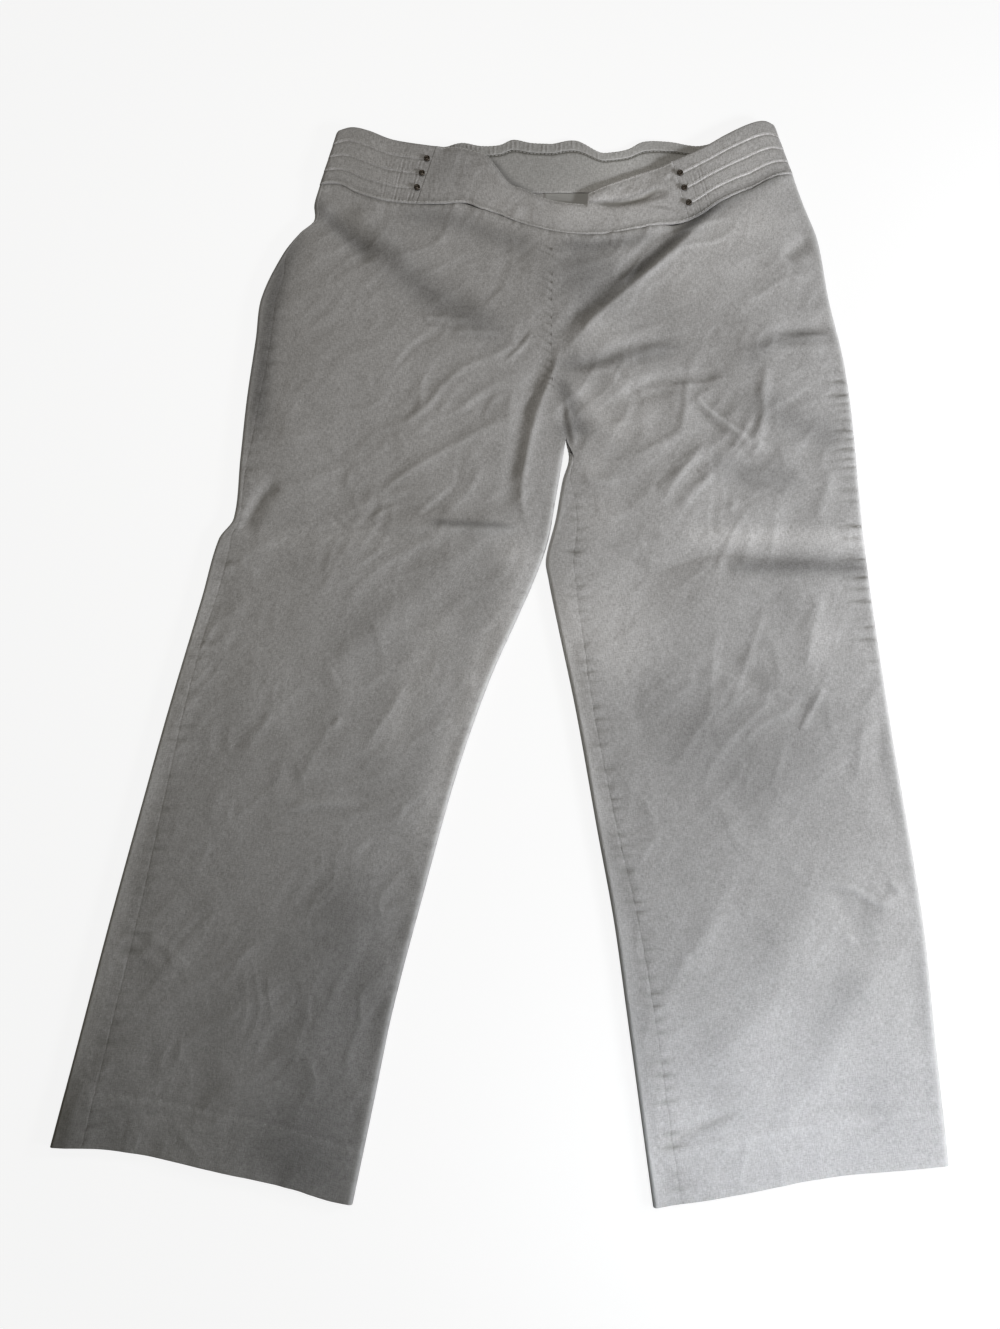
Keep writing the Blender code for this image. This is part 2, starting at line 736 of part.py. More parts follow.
def main():
    for old in list(bpy.data.objects):
        bpy.data.objects.remove(old)
    collection = bpy.data.collections.new(GARMENT)
    bpy.context.scene.collection.children.link(collection)

    right = Leg(
        side="right",
        outer=OUTER_RIGHT,
        inner=INNER_RIGHT,
        hem=HEM_RIGHT,
        waist_front=WAIST_FRONT_RIGHT,
        waist_back=WAIST_BACK_RIGHT,
        band_top=BAND_TOP_RIGHT,
        turned_top=None,
        back_top=BACK_TOP_RIGHT,
        outseam=OUTSEAM_RIGHT,
        inseam=None,
        rivets_across=RIVETS_ACROSS_RIGHT,
    )
    left = Leg(
        side="left",
        outer=OUTER_LEFT,
        inner=INNER_LEFT,
        hem=HEM_LEFT,
        waist_front=WAIST_FRONT_LEFT,
        waist_back=WAIST_BACK_LEFT,
        band_top=BAND_TOP_LEFT,
        turned_top=BAND_TOP_TURNED,
        back_top=BACK_TOP_LEFT,
        outseam=None,
        inseam=INSEAM_LEFT,
        rivets_across=RIVETS_ACROSS_LEFT,
    )
    for leg in (right, left):
        add_wall(f"front_leg_{leg.side}", leg.front_panel(), TWILL, collection)
        add_wall(f"back_leg_{leg.side}", leg.back_panel(), TWILL, collection)
        add_wall(f"side_band_{leg.side}", side_band(leg), TWILL, collection)
    add_wall("waistband_front", front_band(right, left), TWILL, collection)
    back_band = back_strip(right, left, BACK_BAND_ROWS, 0.0, BAND_CLOTH)
    add_wall("waistband_back", back_band, FACING, collection)
    casing = back_strip(right, left, CASING_ROWS, BAND_CLOTH + SEAM_GAP, CASING_CLOTH)
    add_wall("elastic_casing", casing, FACING, collection)
    add_label(collection)
    rivet = rivet_mesh()
    for leg in (right, left):
        add_rivets(leg, rivet, collection)


main()
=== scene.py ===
"""Finish of the cropped pull-on trousers: creased twill, seams, stitches, rivets, light.

The garment lies flat with its front up. Sides are the wearer's: the right leg lies at -X,
+Y points to the waist and +Z up. Lengths are in millimetres until a mesh is made. The
outlines and seams are those of the solids, on a finer grid, and the largest folds lie near
theirs.
"""
import math

import bpy
import numpy as np
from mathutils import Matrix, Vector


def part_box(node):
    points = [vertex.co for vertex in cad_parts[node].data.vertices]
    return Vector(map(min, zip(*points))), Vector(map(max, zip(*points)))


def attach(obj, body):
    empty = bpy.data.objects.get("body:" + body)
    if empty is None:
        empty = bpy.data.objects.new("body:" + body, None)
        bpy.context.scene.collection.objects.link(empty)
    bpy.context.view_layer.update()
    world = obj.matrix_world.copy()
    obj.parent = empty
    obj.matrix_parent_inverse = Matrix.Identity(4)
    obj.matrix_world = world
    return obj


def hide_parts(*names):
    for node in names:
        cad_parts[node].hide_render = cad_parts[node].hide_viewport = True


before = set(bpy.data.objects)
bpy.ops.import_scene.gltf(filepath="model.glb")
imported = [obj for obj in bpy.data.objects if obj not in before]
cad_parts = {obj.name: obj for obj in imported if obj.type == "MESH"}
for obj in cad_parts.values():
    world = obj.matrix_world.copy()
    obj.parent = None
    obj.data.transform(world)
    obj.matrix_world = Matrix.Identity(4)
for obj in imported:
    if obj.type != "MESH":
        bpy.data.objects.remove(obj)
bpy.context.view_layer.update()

MM = 0.001

# ---- Camera, light and floor, in metres ----
CAMERA_PLACE = (0.0, -0.1755, 0.7636)
CAMERA_TILT = math.radians(10.0)
CAMERA_LENS = 27.09
CAMERA_SENSOR = 36.0

# Lamps: place, power in watts, radius, colour
LAMPS = {
    "low_key_inner": ((0.15, -0.41, 0.17), 0.54, 0.035, (0.88, 0.935, 1.0)),
    "low_key_outer": ((0.31, -0.41, 0.17), 0.72, 0.035, (0.88, 0.935, 1.0)),
    "lower_key": ((1.00, -0.60, 0.50), 12.0, 0.06, (1.0, 0.99, 0.965)),
    "side_key": ((0.76, -0.03, 0.31), 11.4, 0.05, (0.935, 0.968, 1.0)),
    "upper_key": ((0.60, 0.22, 0.16), 1.3, 0.05, (0.96, 0.98, 1.0)),
    "fill": ((-0.05, 0.30, 0.60), 3.8, 0.12, (1.0, 0.968, 0.925)),
}
AMBIENT = (0.0235, 0.0225, 0.010, 1.0)
BACKDROP = (0.93, 0.93, 0.93, 1.0)
FLOOR_SIZE = 14.0
FLOOR_DROP = 0.0001
FLOOR_GREY = (0.16, 0.16, 0.16, 1.0)
FLOOR_GLOW = 0.88

# ---- Finishes ----
# Darker and lighter colour of each, then the twills' pale colour, for rubbing and painted light, and
# their deep colour, for painted shade
COLOURS = {
    "stone_twill": (
        (0.373, 0.361, 0.358, 1.0), (0.602, 0.589, 0.592, 1.0),
        (0.712, 0.708, 0.708, 1.0), (0.196, 0.188, 0.170, 1.0),
    ),
    "facing_twill": (
        (0.386, 0.378, 0.372, 1.0), (0.596, 0.588, 0.586, 1.0),
        (0.694, 0.688, 0.686, 1.0), (0.176, 0.169, 0.154, 1.0),
    ),
    "label_tape": ((0.43, 0.422, 0.412, 1.0), (0.565, 0.556, 0.544, 1.0)),
    "stone_thread": ((0.52, 0.51, 0.495, 1.0), (0.68, 0.67, 0.65, 1.0)),
    "hem_thread": ((0.36, 0.35, 0.34, 1.0), (0.50, 0.49, 0.48, 1.0)),
    "burnished_metal": ((0.085, 0.068, 0.055, 1.0), (0.34, 0.30, 0.25, 1.0)),
}
EVENNESS = 0.3           # share of the twill's fleck that is gone a metre down the leg
WEAR_AND_SHADING_SHARE = 0.8             # share of a full change to the pale or the deep colour for a rubbing and painted shading of 1
WALE = 0.00062           # metres from rib to rib of the twill
YARN = 0.0008            # metres across a fleck of its yarns
TAPE_WARP = 0.0005       # metres from warp to warp of the label's tape
TAPE_RIB = 0.0006
RIB_SLANT = (0.82, 0.57)  # way across the twill's ribs
# Grain, mottle and clouds of the twill: size in metres, detail, roughness
TWILL_PATCHES = ((0.0024, 3.0, 0.7), (0.009, 3.0, 0.65), (0.06, 2.0, 0.5))

# ---- Cloth and layers ----
CLOTH = 1.2
HEM_CLOTH = 2.0
BAND_CLOTH = 2.0
SEAM_GAP = 0.04
WAIST_GAP = 0.1
RIM_PINCH = 0.36         # share of the thickness by which a rim draws in on each face
EDGE_RADIUS = 3.0
BAND_RADIUS = 3.8
QUARTER = EDGE_RADIUS * math.pi / 2.0
BAND_QUARTER = BAND_RADIUS * math.pi / 2.0
FADE_WIDTH = 14.0        # over which the front's relief fades at a side edge
TINY = 1e-9

# Shares of the way down from the waist seam (0) to the hem (1)
CROTCH = 0.233
ROUNDING = 0.024
HEM_TOP = 0.952
HEM_STEP = 0.004

# Grids
FINE = 1.8               # between rows and columns of a front panel
MIDDLING = 3.2           # of a back panel
BAND_FINE = 0.7
CASING_FINE = (0.6, 0.75)  # up and along the casing
LABEL_FINE = 0.8
BORDER = np.array((0.0, 0.1, 0.3, 0.7))  # close steps where an edge is rounded
EDGE_WIDTH = 16.0        # at a side edge, with columns at even distances along the cloth
EDGE_COLUMNS = 14
STRIP_SHARES = np.concatenate(((0.0, 0.01, 0.03, 0.06), np.linspace(0.1, 1.0, 15)))
UNDER_SHARES = np.concatenate(((0.0, 0.05, 0.15, 0.3), np.linspace(0.45, 1.0, 5)))
ARC_COLUMNS = 13
BACK_COLUMNS = 61
UNDER_SHIFT = 2.0        # of the cloth's coordinates on the underside, in leg widths
CREASE_PIECES = 12       # straight pieces of a crease's line
LATTICE = 64             # squares after which the soft hills repeat
HILL_GAIN = 1.6          # brings them to between about -1 and 1

# Centre front seam: down, x, y
CENTRE_SEAM = (
    (0.0, 44, 324), (0.07, 43, 270), (0.142, 42, 214), (0.174, 43, 190), (0.208, 48, 164),
    (CROTCH, 53, 143),
)
CENTRE_BACK = (44, 363)

# Each leg. Rows of outer and inner, its silhouettes, the inner one from the crotch to the
# hem: down, x, y. The seams of the waistband and the hem between their corners: x, y from
# the outer side in. Rows of the waistband's top edges: share across from the side fold to
# the centre, x, y. Rows of outseam and inseam, for a seam that lies over the front: down,
# distance from the outermost line of its fold, along the cloth.
LEGS = {
    "right": {
        "outer": (
            (0.0, -152, 367), (0.023, -156, 350), (0.036, -155, 339), (0.044, -157, 333),
            (0.058, -167, 324), (0.09, -181, 304), (0.147, -197, 265), (0.193, -200, 229),
            (0.259, -205, 177), (0.324, -208, 126), (0.388, -211, 76), (0.414, -222, 59),
            (0.478, -233, 11), (0.591, -254, -77), (0.681, -269, -145), (0.796, -288, -233),
            (0.905, -305, -317), (1.0, -320, -390),
        ),
        "inner": (
            (CROTCH, 53, 143), (0.256, 50, 125), (0.301, 44, 91), (0.344, 38, 58), (0.388, 27, 26),
            (0.433, 13, -6), (0.501, -8, -54), (0.595, -32, -123), (0.713, -56, -211),
            (0.828, -78, -297), (0.908, -90, -358), (1.0, -104, -428),
        ),
        "waist_front": (
            (-136, 367), (-120, 359), (-98, 352), (-71, 349), (-48, 349), (-29, 350), (-17, 345),
            (-2, 340), (14, 333), (32, 327),
        ),
        "waist_back": ((-100, 364), (-30, 363)),
        "hem": ((-284, -391), (-248, -396), (-205, -405), (-170, -412), (-144, -418), (-121, -425)),
        "band_top": (
            (0.0, -139, 417), (0.074, -126, 421), (0.162, -112, 418), (0.275, -90, 409),
            (0.418, -54, 403), (0.521, -38, 404), (0.6, -25, 401), (0.683, -12, 396),
            (0.75, -2, 383), (0.81, 8, 369), (0.88, 20, 364), (0.95, 35, 356), (1.0, 45, 353),
        ),
        "turned_top": None,
        "back_top": (
            (0.0, -139, 417), (0.1, -122, 419), (0.2, -104, 414), (0.35, -76, 404),
            (0.5, -50, 405), (0.6, -33, 410), (0.7, -16, 407), (0.78, 0, 408), (0.83, 11, 413),
            (0.9, 26, 410), (1.0, 44, 409),
        ),
        "outseam": (
            (0.0, 6.0), (0.09, 6.0), (0.125, 14.0), (0.212, 14.0), (0.288, 11.0), (0.352, 6.5),
            (0.388, 7.5), (0.43, 13.5), (0.52, 12.5), (0.65, 16.5), (0.77, 21.5), (0.91, 23.5),
            (1.0, 25.0),
        ),
        "inseam": None,
        "rivets_across": 0.387,
    },
    "left": {
        "outer": (
            (0.0, 247, 377), (0.038, 255, 349), (0.083, 265, 316), (0.149, 271, 264),
            (0.219, 280, 210), (0.284, 284, 159), (0.413, 287, 58), (0.586, 297, -77),
            (0.785, 312, -233), (0.892, 315, -317), (1.0, 318, -402),
        ),
        "inner": (
            (CROTCH, 53, 143), (0.257, 55, 125), (0.281, 50, 108), (0.324, 44, 75),
            (0.369, 36, 42), (0.39, 38, 26), (0.434, 44, -6), (0.529, 58, -77), (0.65, 73, -168),
            (0.737, 84, -233), (0.823, 92, -297), (1.0, 108, -430),
        ),
        "waist_front": (
            (235, 375), (224, 370), (212, 363), (201, 359), (183, 350), (165, 337), (149, 331),
            (133, 330), (118, 327), (98, 323), (79, 321), (56, 322),
        ),
        "waist_back": ((190, 370), (120, 364)),
        "hem": ((283, -405), (248, -408), (216, -412), (184, -418), (150, -424), (128, -427)),
        "band_top": (
            (0.0, 234, 422), (0.07, 224, 427), (0.14, 211, 424), (0.231, 190, 413),
            (0.324, 172, 402), (0.466, 145, 389), (0.583, 128, 382), (0.75, 98, 371),
            (0.86, 74, 360),
        ),
        "turned_top": ((0.86, 73, 350), (0.963, 54, 351), (1.0, 45, 353)),
        "back_top": (
            (0.0, 234, 422), (0.1, 219, 425), (0.2, 200, 418), (0.37, 170, 407), (0.5, 143, 411),
            (0.6, 122, 411), (0.67, 109, 404), (0.75, 95, 401), (0.8, 85, 401), (0.89, 65, 412),
            (1.0, 44, 409),
        ),
        "outseam": None,
        "inseam": (
            (0.0, 6.0), (0.27, 6.0), (0.31, 16.0), (0.36, 23.0), (0.43, 20.0), (0.529, 15.0),
            (0.65, 16.5), (0.78, 20.5), (1.0, 21.5),
        ),
        "rivets_across": 0.465,
    },
}
TURNED_SHARE = 0.862     # across, where the left top edge steps down to its turned-in part
TURNED_STEP = 0.002

# ---- Folds and creases: points along the line, half width, height ----
# Largest folds of the front, near those of the solids (a trough is negative)
FRONT_FOLDS = (
    (((168, 348), (138, 321), (111, 296), (84, 270), (58, 243), (38, 222)), 8.0, -2.4),
    (((-148, 346), (-123, 321), (-103, 299)), 7.5, -2.9),
    (((-128, 350), (-97, 320), (-68, 288)), 9.0, 2.6),
    (((-102, 318), (-76, 300), (-40, 272), (-12, 252)), 9.0, -1.9),
    (((42, 216), (32, 195), (19, 160), (8, 104), (5, 80)), 7.0, -1.8),
    (((-110, 76), (-40, 71), (24, 69)), 8.0, 1.8),
    (((-176, 110), (-190, 89), (-204, 62)), 6.0, -2.6),
    (((52, 200), (88, 208), (124, 222)), 9.0, -2.0),
    (((88, 170), (128, 186), (182, 200)), 8.0, -2.4),
    (((178, 144), (154, 122), (112, 90)), 6.0, 1.0),
    (((172, 116), (158, 102), (140, 84)), 6.0, 1.4),
    (((118, 38), (160, 50), (202, 41)), 7.0, -0.8),
    (((196, 42), (240, 41), (290, 40)), 8.0, -0.8),
    (((262, 318), (248, 310), (234, 298)), 7.0, -2.2),
    (((280, 237), (250, 236), (220, 226)), 8.0, -2.2),
    (((155, -23), (205, -60), (258, -86)), 9.0, -1.6),
    (((243, -195), (262, -232), (284, -208)), 9.0, -0.8),
    (((-150, -66), (-60, 20), (20, 96)), 12.0, 1.3),
    (((-264, -248), (-250, -262), (-232, -272)), 7.0, 0.8),
    (((250, -185), (212, -258), (188, -300), (140, -360)), 20.0, 2.4),
    (((284, -246), (254, -298), (236, -336), (208, -370), (172, -396)), 13.0, 1.7),
    (((170, -208), (148, -246), (120, -278)), 9.0, 1.1),
)
# Finer ridges (troughs are negative)
RIDGES = (
    (((154, 183), (165, 169), (178, 156), (204, 136)), 3.0, 1.9),
    (((218, 209), (213, 183), (211, 159), (201, 129)), 4.2, 1.5),
    (((-43, 234), (-20, 235), (2, 233)), 2.4, 0.9),
    (((-125, 101), (-116, 112), (-108, 123)), 4.0, 0.9),
    (((-162, -152), (-133, -148), (-105, -148)), 4.0, 0.8),
    (((-67, 253), (-52, 246), (-43, 249), (-26, 241)), 2.2, 0.8),
    (((189, 94), (184, 86), (181, 80)), 3.0, 0.9),
    (((266, 121), (258, 95), (249, 71)), 5.0, 1.0),
    (((294, -78), (290, -96), (286, -128)), 5.0, -0.6),
    (((288, -203), (293, -209), (299, -214)), 3.0, 1.0),
    (((252, -241), (256, -246), (259, -251)), 3.0, 0.7),
    (((267, -197), (263, -240), (267, -265)), 6.0, -0.5),
)
# Stepped creases: the side to the lower right stands up, or sinks where negative
STEPS = (
    (((-69, 240), (-57, 250), (-36, 246), (-17, 253)), 2.6, 0.8),
    (((-45, 237), (-16, 234), (11, 237)), 2.6, 0.6),
    (((28, 238), (15, 221), (0, 205)), 2.6, 1.9),
    (((5, 187), (-10, 171), (-17, 154)), 3.2, 1.0),
    (((-113, 69), (-89, 85), (-75, 87)), 2.8, 1.1),
    (((-122, -81), (-126, -86), (-130, -91)), 3.4, 1.2),
    (((51, 180), (55, 153), (59, 129)), 3.6, 1.8),
    (((6, 279), (-5, 267), (-16, 255)), 3.0, 0.8),
    (((-180, 106), (-190, 89), (-205, 62)), 4.0, 1.4),
    (((-100, 306), (-75, 291), (-44, 263), (-26, 259)), 11.0, 2.2),
    (((-132, 322), (-114, 305), (-100, 305)), 6.0, 1.6),
    (((-94, 190), (-70, 223), (-45, 237)), 3.2, -0.9),
    (((0, 190), (-31, 165), (-73, 142)), 4.2, -1.0),
    (((-32, 109), (-42, 96), (-68, 74)), 3.2, -1.1),
    (((-122, 101), (-116, 117), (-105, 125)), 3.2, -0.8),
    (((-137, 84), (-118, 68), (-98, 82)), 3.2, -0.7),
    (((-87, 53), (-103, 40), (-120, 28)), 3.2, -0.8),
    (((-49, -88), (-59, -99), (-70, -111)), 4.0, -0.8),
    (((-166, -155), (-131, -150), (-97, -147)), 5.0, -0.8),
    (((-55, -140), (-66, -150), (-77, -159)), 4.0, -0.8),
    (((-93, -173), (-101, -181), (-109, -189)), 4.0, -0.7),
    (((-270, -239), (-240, -262), (-227, -281)), 6.5, 0.9),
    (((44, 199), (80, 205), (109, 219), (151, 224)), 6.0, 2.4),
    (((97, 177), (128, 189), (156, 192), (189, 195)), 4.4, 2.6),
    (((217, 232), (245, 233), (273, 232)), 4.0, 1.6),
    (((186, 123), (196, 110), (220, 105)), 5.0, 1.0),
    (((166, 67), (160, 61), (155, 54)), 3.0, 0.6),
)
HIGH_SIDE = np.array((0.9, -0.45))
MAIN_FOLD = ((190, 352), (158, 319), (127, 290), (96, 262), (69, 235), (40, 200))
RIGHT_CREASE = (
    (51, 234), (46, 208), (35, 178), (26, 148), (20, 119), (17, 98), (19, 78), (26, 58),
)
# Sharp-crested folds, soft on both sides (a sharp valley is negative)
SHARP_FOLDS = (
    (MAIN_FOLD, 6.5, 2.6),
    (MAIN_FOLD, 26.0, 2.4),
    (RIGHT_CREASE, 4.5, 2.0),
    (RIGHT_CREASE, 16.0, 1.7),
    (((200, 218), (238, 219), (273, 221)), 10.0, 1.3),
    (((44, 202), (64, 177), (88, 145)), 6.0, 1.0),
    (((63, 112), (74, 107), (98, 105)), 3.5, 1.5),
    (((171, 142), (156, 127), (140, 107), (126, 83)), 4.0, 1.7),
    (((143, 122), (127, 108), (120, 93)), 3.0, -1.2),
    (((199, 128), (206, 135), (212, 141)), 2.2, 1.0),
    (((174, 141), (187, 137), (200, 134)), 3.0, -1.0),
    (((72, 56), (100, 45), (117, 31), (152, 43), (172, 46), (218, 42), (275, 39)), 8.0, -2.6),
    (((-105, 70), (-65, 66), (-31, 65), (-1, 65), (28, 69)), 7.0, 2.4),
    (((27, 233), (-1, 215), (-35, 198), (-66, 162), (-96, 146)), 3.0, 1.4),
    (((22, 168), (-23, 143), (-66, 118), (-105, 90)), 4.0, 1.5),
    (((-12, 125), (-26, 96), (-54, 69)), 3.5, 0.9),
    (((-69, -50), (-85, -80), (-106, -110)), 4.0, 1.0),
    (((-120, -69), (-138, -107), (-156, -142)), 6.0, 0.9),
    (((-33, -80), (-50, -93), (-66, -110)), 4.0, 0.8),
    (((210, 15), (194, -30), (173, -80)), 5.0, 1.1),
    (((168, -7), (164, -44), (159, -93)), 5.0, 0.9),
    (((252, 18), (241, -19), (234, -52)), 6.0, 1.3),
    (((195, -70), (209, -62), (220, -67), (236, -63)), 2.4, 1.0),
    (((236, -63), (219, -78), (197, -90), (180, -109)), 3.4, 1.1),
    (((250, -56), (238, -77), (226, -97)), 2.6, 1.5),
    (((218, -96), (209, -125), (203, -141)), 5.0, 0.8),
    (((279, -77), (274, -104), (269, -131)), 5.0, 1.0),
    (((112, -33), (104, -77), (113, -115)), 16.0, -1.0),
    (((108, -395), (139, -379), (180, -363)), 3.5, -2.4),
    (((232, -204), (262, -211), (281, -221), (300, -210)), 4.5, 1.9),
    (((174, -365), (193, -375), (236, -365), (285, -365)), 5.0, -0.8),
)
SHARPNESS = 0.9          # radius of a sharp crest
END_WIDTH = 0.6          # share of its width that a stepped or sharp one keeps at its ends
END_FADES = {"soft": 0.25, "stepped": 0.35, "sharp": 0.30}  # share of the line at each end
REACH = {"soft": 4.0, "stepped": 4.0, "sharp": 7.0}         # in half widths
# Painted light and shade along a line, deeper where shade falls on the cloth and paler where light
# falls: points, half width, share
PAINTED_SHADE_LINES = (
    (((175, 342), (146, 316), (112, 290), (76, 258), (40, 222)), 10.0, -0.20),
    (((40, 312), (80, 312), (118, 318), (140, 326)), 6.0, -0.32),
    (((206, 366), (186, 351), (170, 339), (155, 326), (140, 312), (110, 286), (90, 267)), 4.5, -0.38),
    (((-100, 340), (-40, 336), (0, 320), (40, 304)), 11.0, -0.28),
    (((30, 203), (80, 209), (110, 214), (160, 226)), 8.0, -0.28),
    (((-64, 71), (-22, 69), (18, 67)), 3.6, -0.42),
    (((-156, 345), (-180, 292), (-188, 250), (-193, 200), (-196, 120)), 9.0, -0.42),
    (((-168, 362), (-136, 330), (-100, 298)), 8.0, -0.36),
    (((-122, 336), (-92, 302), (-60, 270), (-25, 248), (20, 222)), 15.0, -0.32),
    (((190, 200), (215, 220), (240, 232), (290, 228)), 9.0, -0.22),
    (((200, 190), (228, 160), (285, 140)), 15.0, -0.22),
    (((155, 125), (200, 112), (250, 108)), 14.0, -0.22),
    (((46, 200), (53, 180), (62, 160), (76, 138)), 6.5, -0.34),
    (((60, 194), (74, 177), (90, 155), (106, 134)), 7.0, 0.16),
    (((155, 300), (200, 326), (245, 338)), 14.0, 0.14),
    (((130, 62), (215, 60), (310, 58)), 9.0, 0.30),
    (((165, 36), (230, 37), (310, 34)), 8.0, -0.40),
    (((-215, 56), (-140, 60), (-60, 60), (-5, 58)), 10.0, 0.10),
    (((32, 62), (8, 5), (-18, -60), (-42, -130), (-66, -215)), 12.0, 0.30),
    (((-212, 62), (-245, -60), (-268, -160), (-290, -260), (-318, -390)), 11.0, 0.22),
    (((44, 55), (56, -40), (66, -100), (82, -205)), 9.0, 0.30),
    (((-38, 15), (-62, -50), (-88, -125)), 13.0, 0.14),
    (((140, 319), (160, 332), (178, 343), (196, 353), (218, 366), (250, 386)), 6.0, -0.38),
    (((-14, 402), (-4, 389), (8, 374), (20, 365), (38, 357)), 3.2, -0.42),
    (((38, 354), (60, 351), (78, 351), (108, 355), (126, 362), (142, 366)), 1.6, -0.40),
)
# The same painted light and shade over a round patch: x, y, reach, share
PAINTED_SHADE_PATCHES = (
    (-185, -20, 100, 0.14), (-35, -50, 50, 0.12), (-108, -290, 60, -0.28), (-138, -395, 50, -0.42),
    (-290, -385, 45, -0.24), (-110, -15, 35, -0.1), (-60, 125, 60, 0.08), (88, -10, 48, 0.3),
    (190, -125, 50, -0.14), (245, -95, 40, -0.1), (110, 165, 32, 0.18), (150, 75, 60, 0.12),
    (205, 310, 50, 0.18), (70, 286, 30, -0.34), (150, 285, 26, 0.14), (84, 228, 16, 0.16),
    (12, 48, 15, 0.28), (78, 78, 18, 0.24), (75, 118, 11, 0.22), (66, 158, 11, 0.14),
    (56, 150, 10, -0.4), (272, 238, 14, 0.18), (130, -60, 40, -0.1), (246, -20, 18, 0.16),
    (70, -20, 25, 0.12), (130, -385, 40, 0.1), (290, -365, 45, -0.12), (262, -285, 18, -0.12),
    (238, -258, 18, 0.08), (0, 346, 30, 0.16), (62, 342, 28, 0.28), (110, 352, 34, 0.3),
    (100, 394, 40, 0.3), (195, 387, 45, 0.3), (228, 408, 28, 0.2), (-45, 385, 22, -0.16),
    (-112, -225, 32, -0.18), (-215, -320, 60, -0.1), (96, -42, 16, 0.16), (150, -100, 30, -0.12),
    (220, 8, 30, -0.08), (-110, 398, 30, 0.1),
)

# Soft hills over the whole front: height, size, seed
HILLS = ((1.5, 92.0, 11), (0.75, 47.0, 12), (0.28, 23.0, 13))
# Rumples over the whole front: height, size, heading in degrees, how much longer than wide,
# seed, and seed of the hills that make them uneven
RUMPLES = (
    (1.5, 44.0, 48.0, 2.2, 21, 71),
    (1.1, 26.0, 40.0, 2.4, 22, 72),
    (0.60, 15.0, 62.0, 2.0, 23, 73),
    (0.24, 9.0, 25.0, 1.8, 24, 74),
)
UNEVEN = (0.5, 0.9, 2.6)  # mean share of a rumple, its change, and over how many sizes
BEND = (0.5, 2.3)        # how far a rumple is bent, and by hills how large, in its sizes
BEND_SEED = 500          # above a rumple's own
CREST = (0.3, 0.004)     # level of its crest, and the square of its roundness
LAP_WIDTH = 0.16         # of a rumple's steep side, as a share of its hill
LAP_HEIGHT = 0.35
# Where they are stronger or weaker than elsewhere: x, y, reach, factor
RUMPLED = ((110, 280, 90, 0.8), (170, 150, 90, 0.7), (-40, 170, 90, 0.3), (-200, -200, 120, -0.2))
SWELLS = ((30, 60, 60, 1.2),)  # broad swells of the front: x, y, reach, height
LOWEST = -2.9            # deepest trough, just clear of the layer below
HEADROOM = 0.6           # over which a trough levels out above it

# Ripples across a seam, over how many of their spacings last: how far their phase
# wanders, and the mean and the change of their height
WANDER = (0.45, 2.6)
SWELL = (0.55, 0.75, 1.7)

# Puckers along the seams of the legs
# leg, seam, from, to (shares down), height, reach, spacing, seed, lean
PUCKERS = (
    ("right", "outer", 0.10, 1.00, -0.50, 10.0, 13.0, 40, 0.2),
    ("right", "inner", 0.26, 1.00, -0.45, 9.0, 13.0, 43, -0.2),
    ("right", "inner", -0.02, 0.20, -0.95, 9.0, 7.6, 46, 0.4),
    ("left", "outer", 0.05, 1.00, -0.30, 9.0, 14.0, 49, 0.1),
    ("left", "outer", 0.20, 0.54, -1.70, 15.0, 8.2, 52, 0.1),
    ("left", "inner", 0.26, 1.00, -0.90, 7.5, 10.0, 55, 0.1),
    ("left", "inner", -0.02, 0.22, -0.12, 6.0, 8.0, 58, 0.3),
)
PUCKER_POWER = 5         # the higher, the narrower
PUCKER_FADE = 0.05       # share down over which a row of puckers starts and ends
PUCKER_MARGIN = 0.02     # by which it ends beyond its row in the table

# Relief along a leg's seams and edges: height, reach
SEAM_GROOVE = (-0.12, 0.8)
CENTRE_GROOVE = 0.3      # share of the depth at the centre front seam
SEAM_RIDGE = (0.10, 9.0)  # over the seam allowance
HEM_GROOVE = (-0.35, 1.3)
HEM_DIMPLES = (0.35, 7.0)  # how uneven the hem's groove is, and from dimple to dimple
HEM_RISE = (0.35, 2.0)   # height of the doubled hem, and over what distance it rises
WAIST_RISE = (0.9, 8.0)  # the leg's top edge under the waistband's
WAIST_GATHERS = (-0.35, 9.0, 8.5, 90)  # and spacing, seed

# Rubbing and painted light and shade of the legs, above 0 where paler: amount, reach, distance of its
# middle
# painted shade in each seam's groove, and a soft painted shadow beside it
SEAM_PAINTED_SHADE = (-0.14, 0.7)
BESIDE_SEAM_PAINTED_SHADE = (-0.04, 2.6, 3.0)
# painted light on the legs' rounded side edges
EDGE_PAINTED_LIGHT = (0.80, 4.0)
# painted shade just under the waistband
UNDER_BAND_PAINTED_SHADE = (-0.6, 2.2)
# paler along the hem's rubbed edge
HEM_WEAR = (0.3, 1.0)
# painted shade in the puckers, for each millimetre of their depth
PUCKER_PAINTED_SHADE = 0.8
CREST_WEAR_AND_PAINTED_SHADING = (0.35, 0.3)  # paler on small crests, partly rubbed and partly painted light, deeper in small hollows as painted shade: for each millimetre of a small crest, and at most

# ---- Waistband ----
BAND_FOLDS = (
    (((76, 350), (110, 352), (146, 362)), 4.0, -2.0),
    (((92, 362), (118, 370), (140, 378)), 8.0, -1.2),
    (((10, 334), (14, 342), (16, 350)), 4.0, 0.8),
)
BAND_CREASES = (
    (((-30, 352), (-34, 364), (-30, 384)), 5.0, 0.4),
    (((-26, 384), (-12, 378), (4, 362)), 5.0, 0.8),
    (((-50, 356), (-40, 358), (-20, 352)), 3.0, 0.6),
    (((122, 347), (142, 343), (151, 334)), 3.0, 1.1),
    (((127, 362), (116, 357), (94, 351), (74, 350)), 2.4, 1.0),
    (((78, 346), (96, 350), (120, 358)), 3.0, -0.8),
    (((136, 372), (142, 374), (148, 382)), 2.6, -0.8),
)
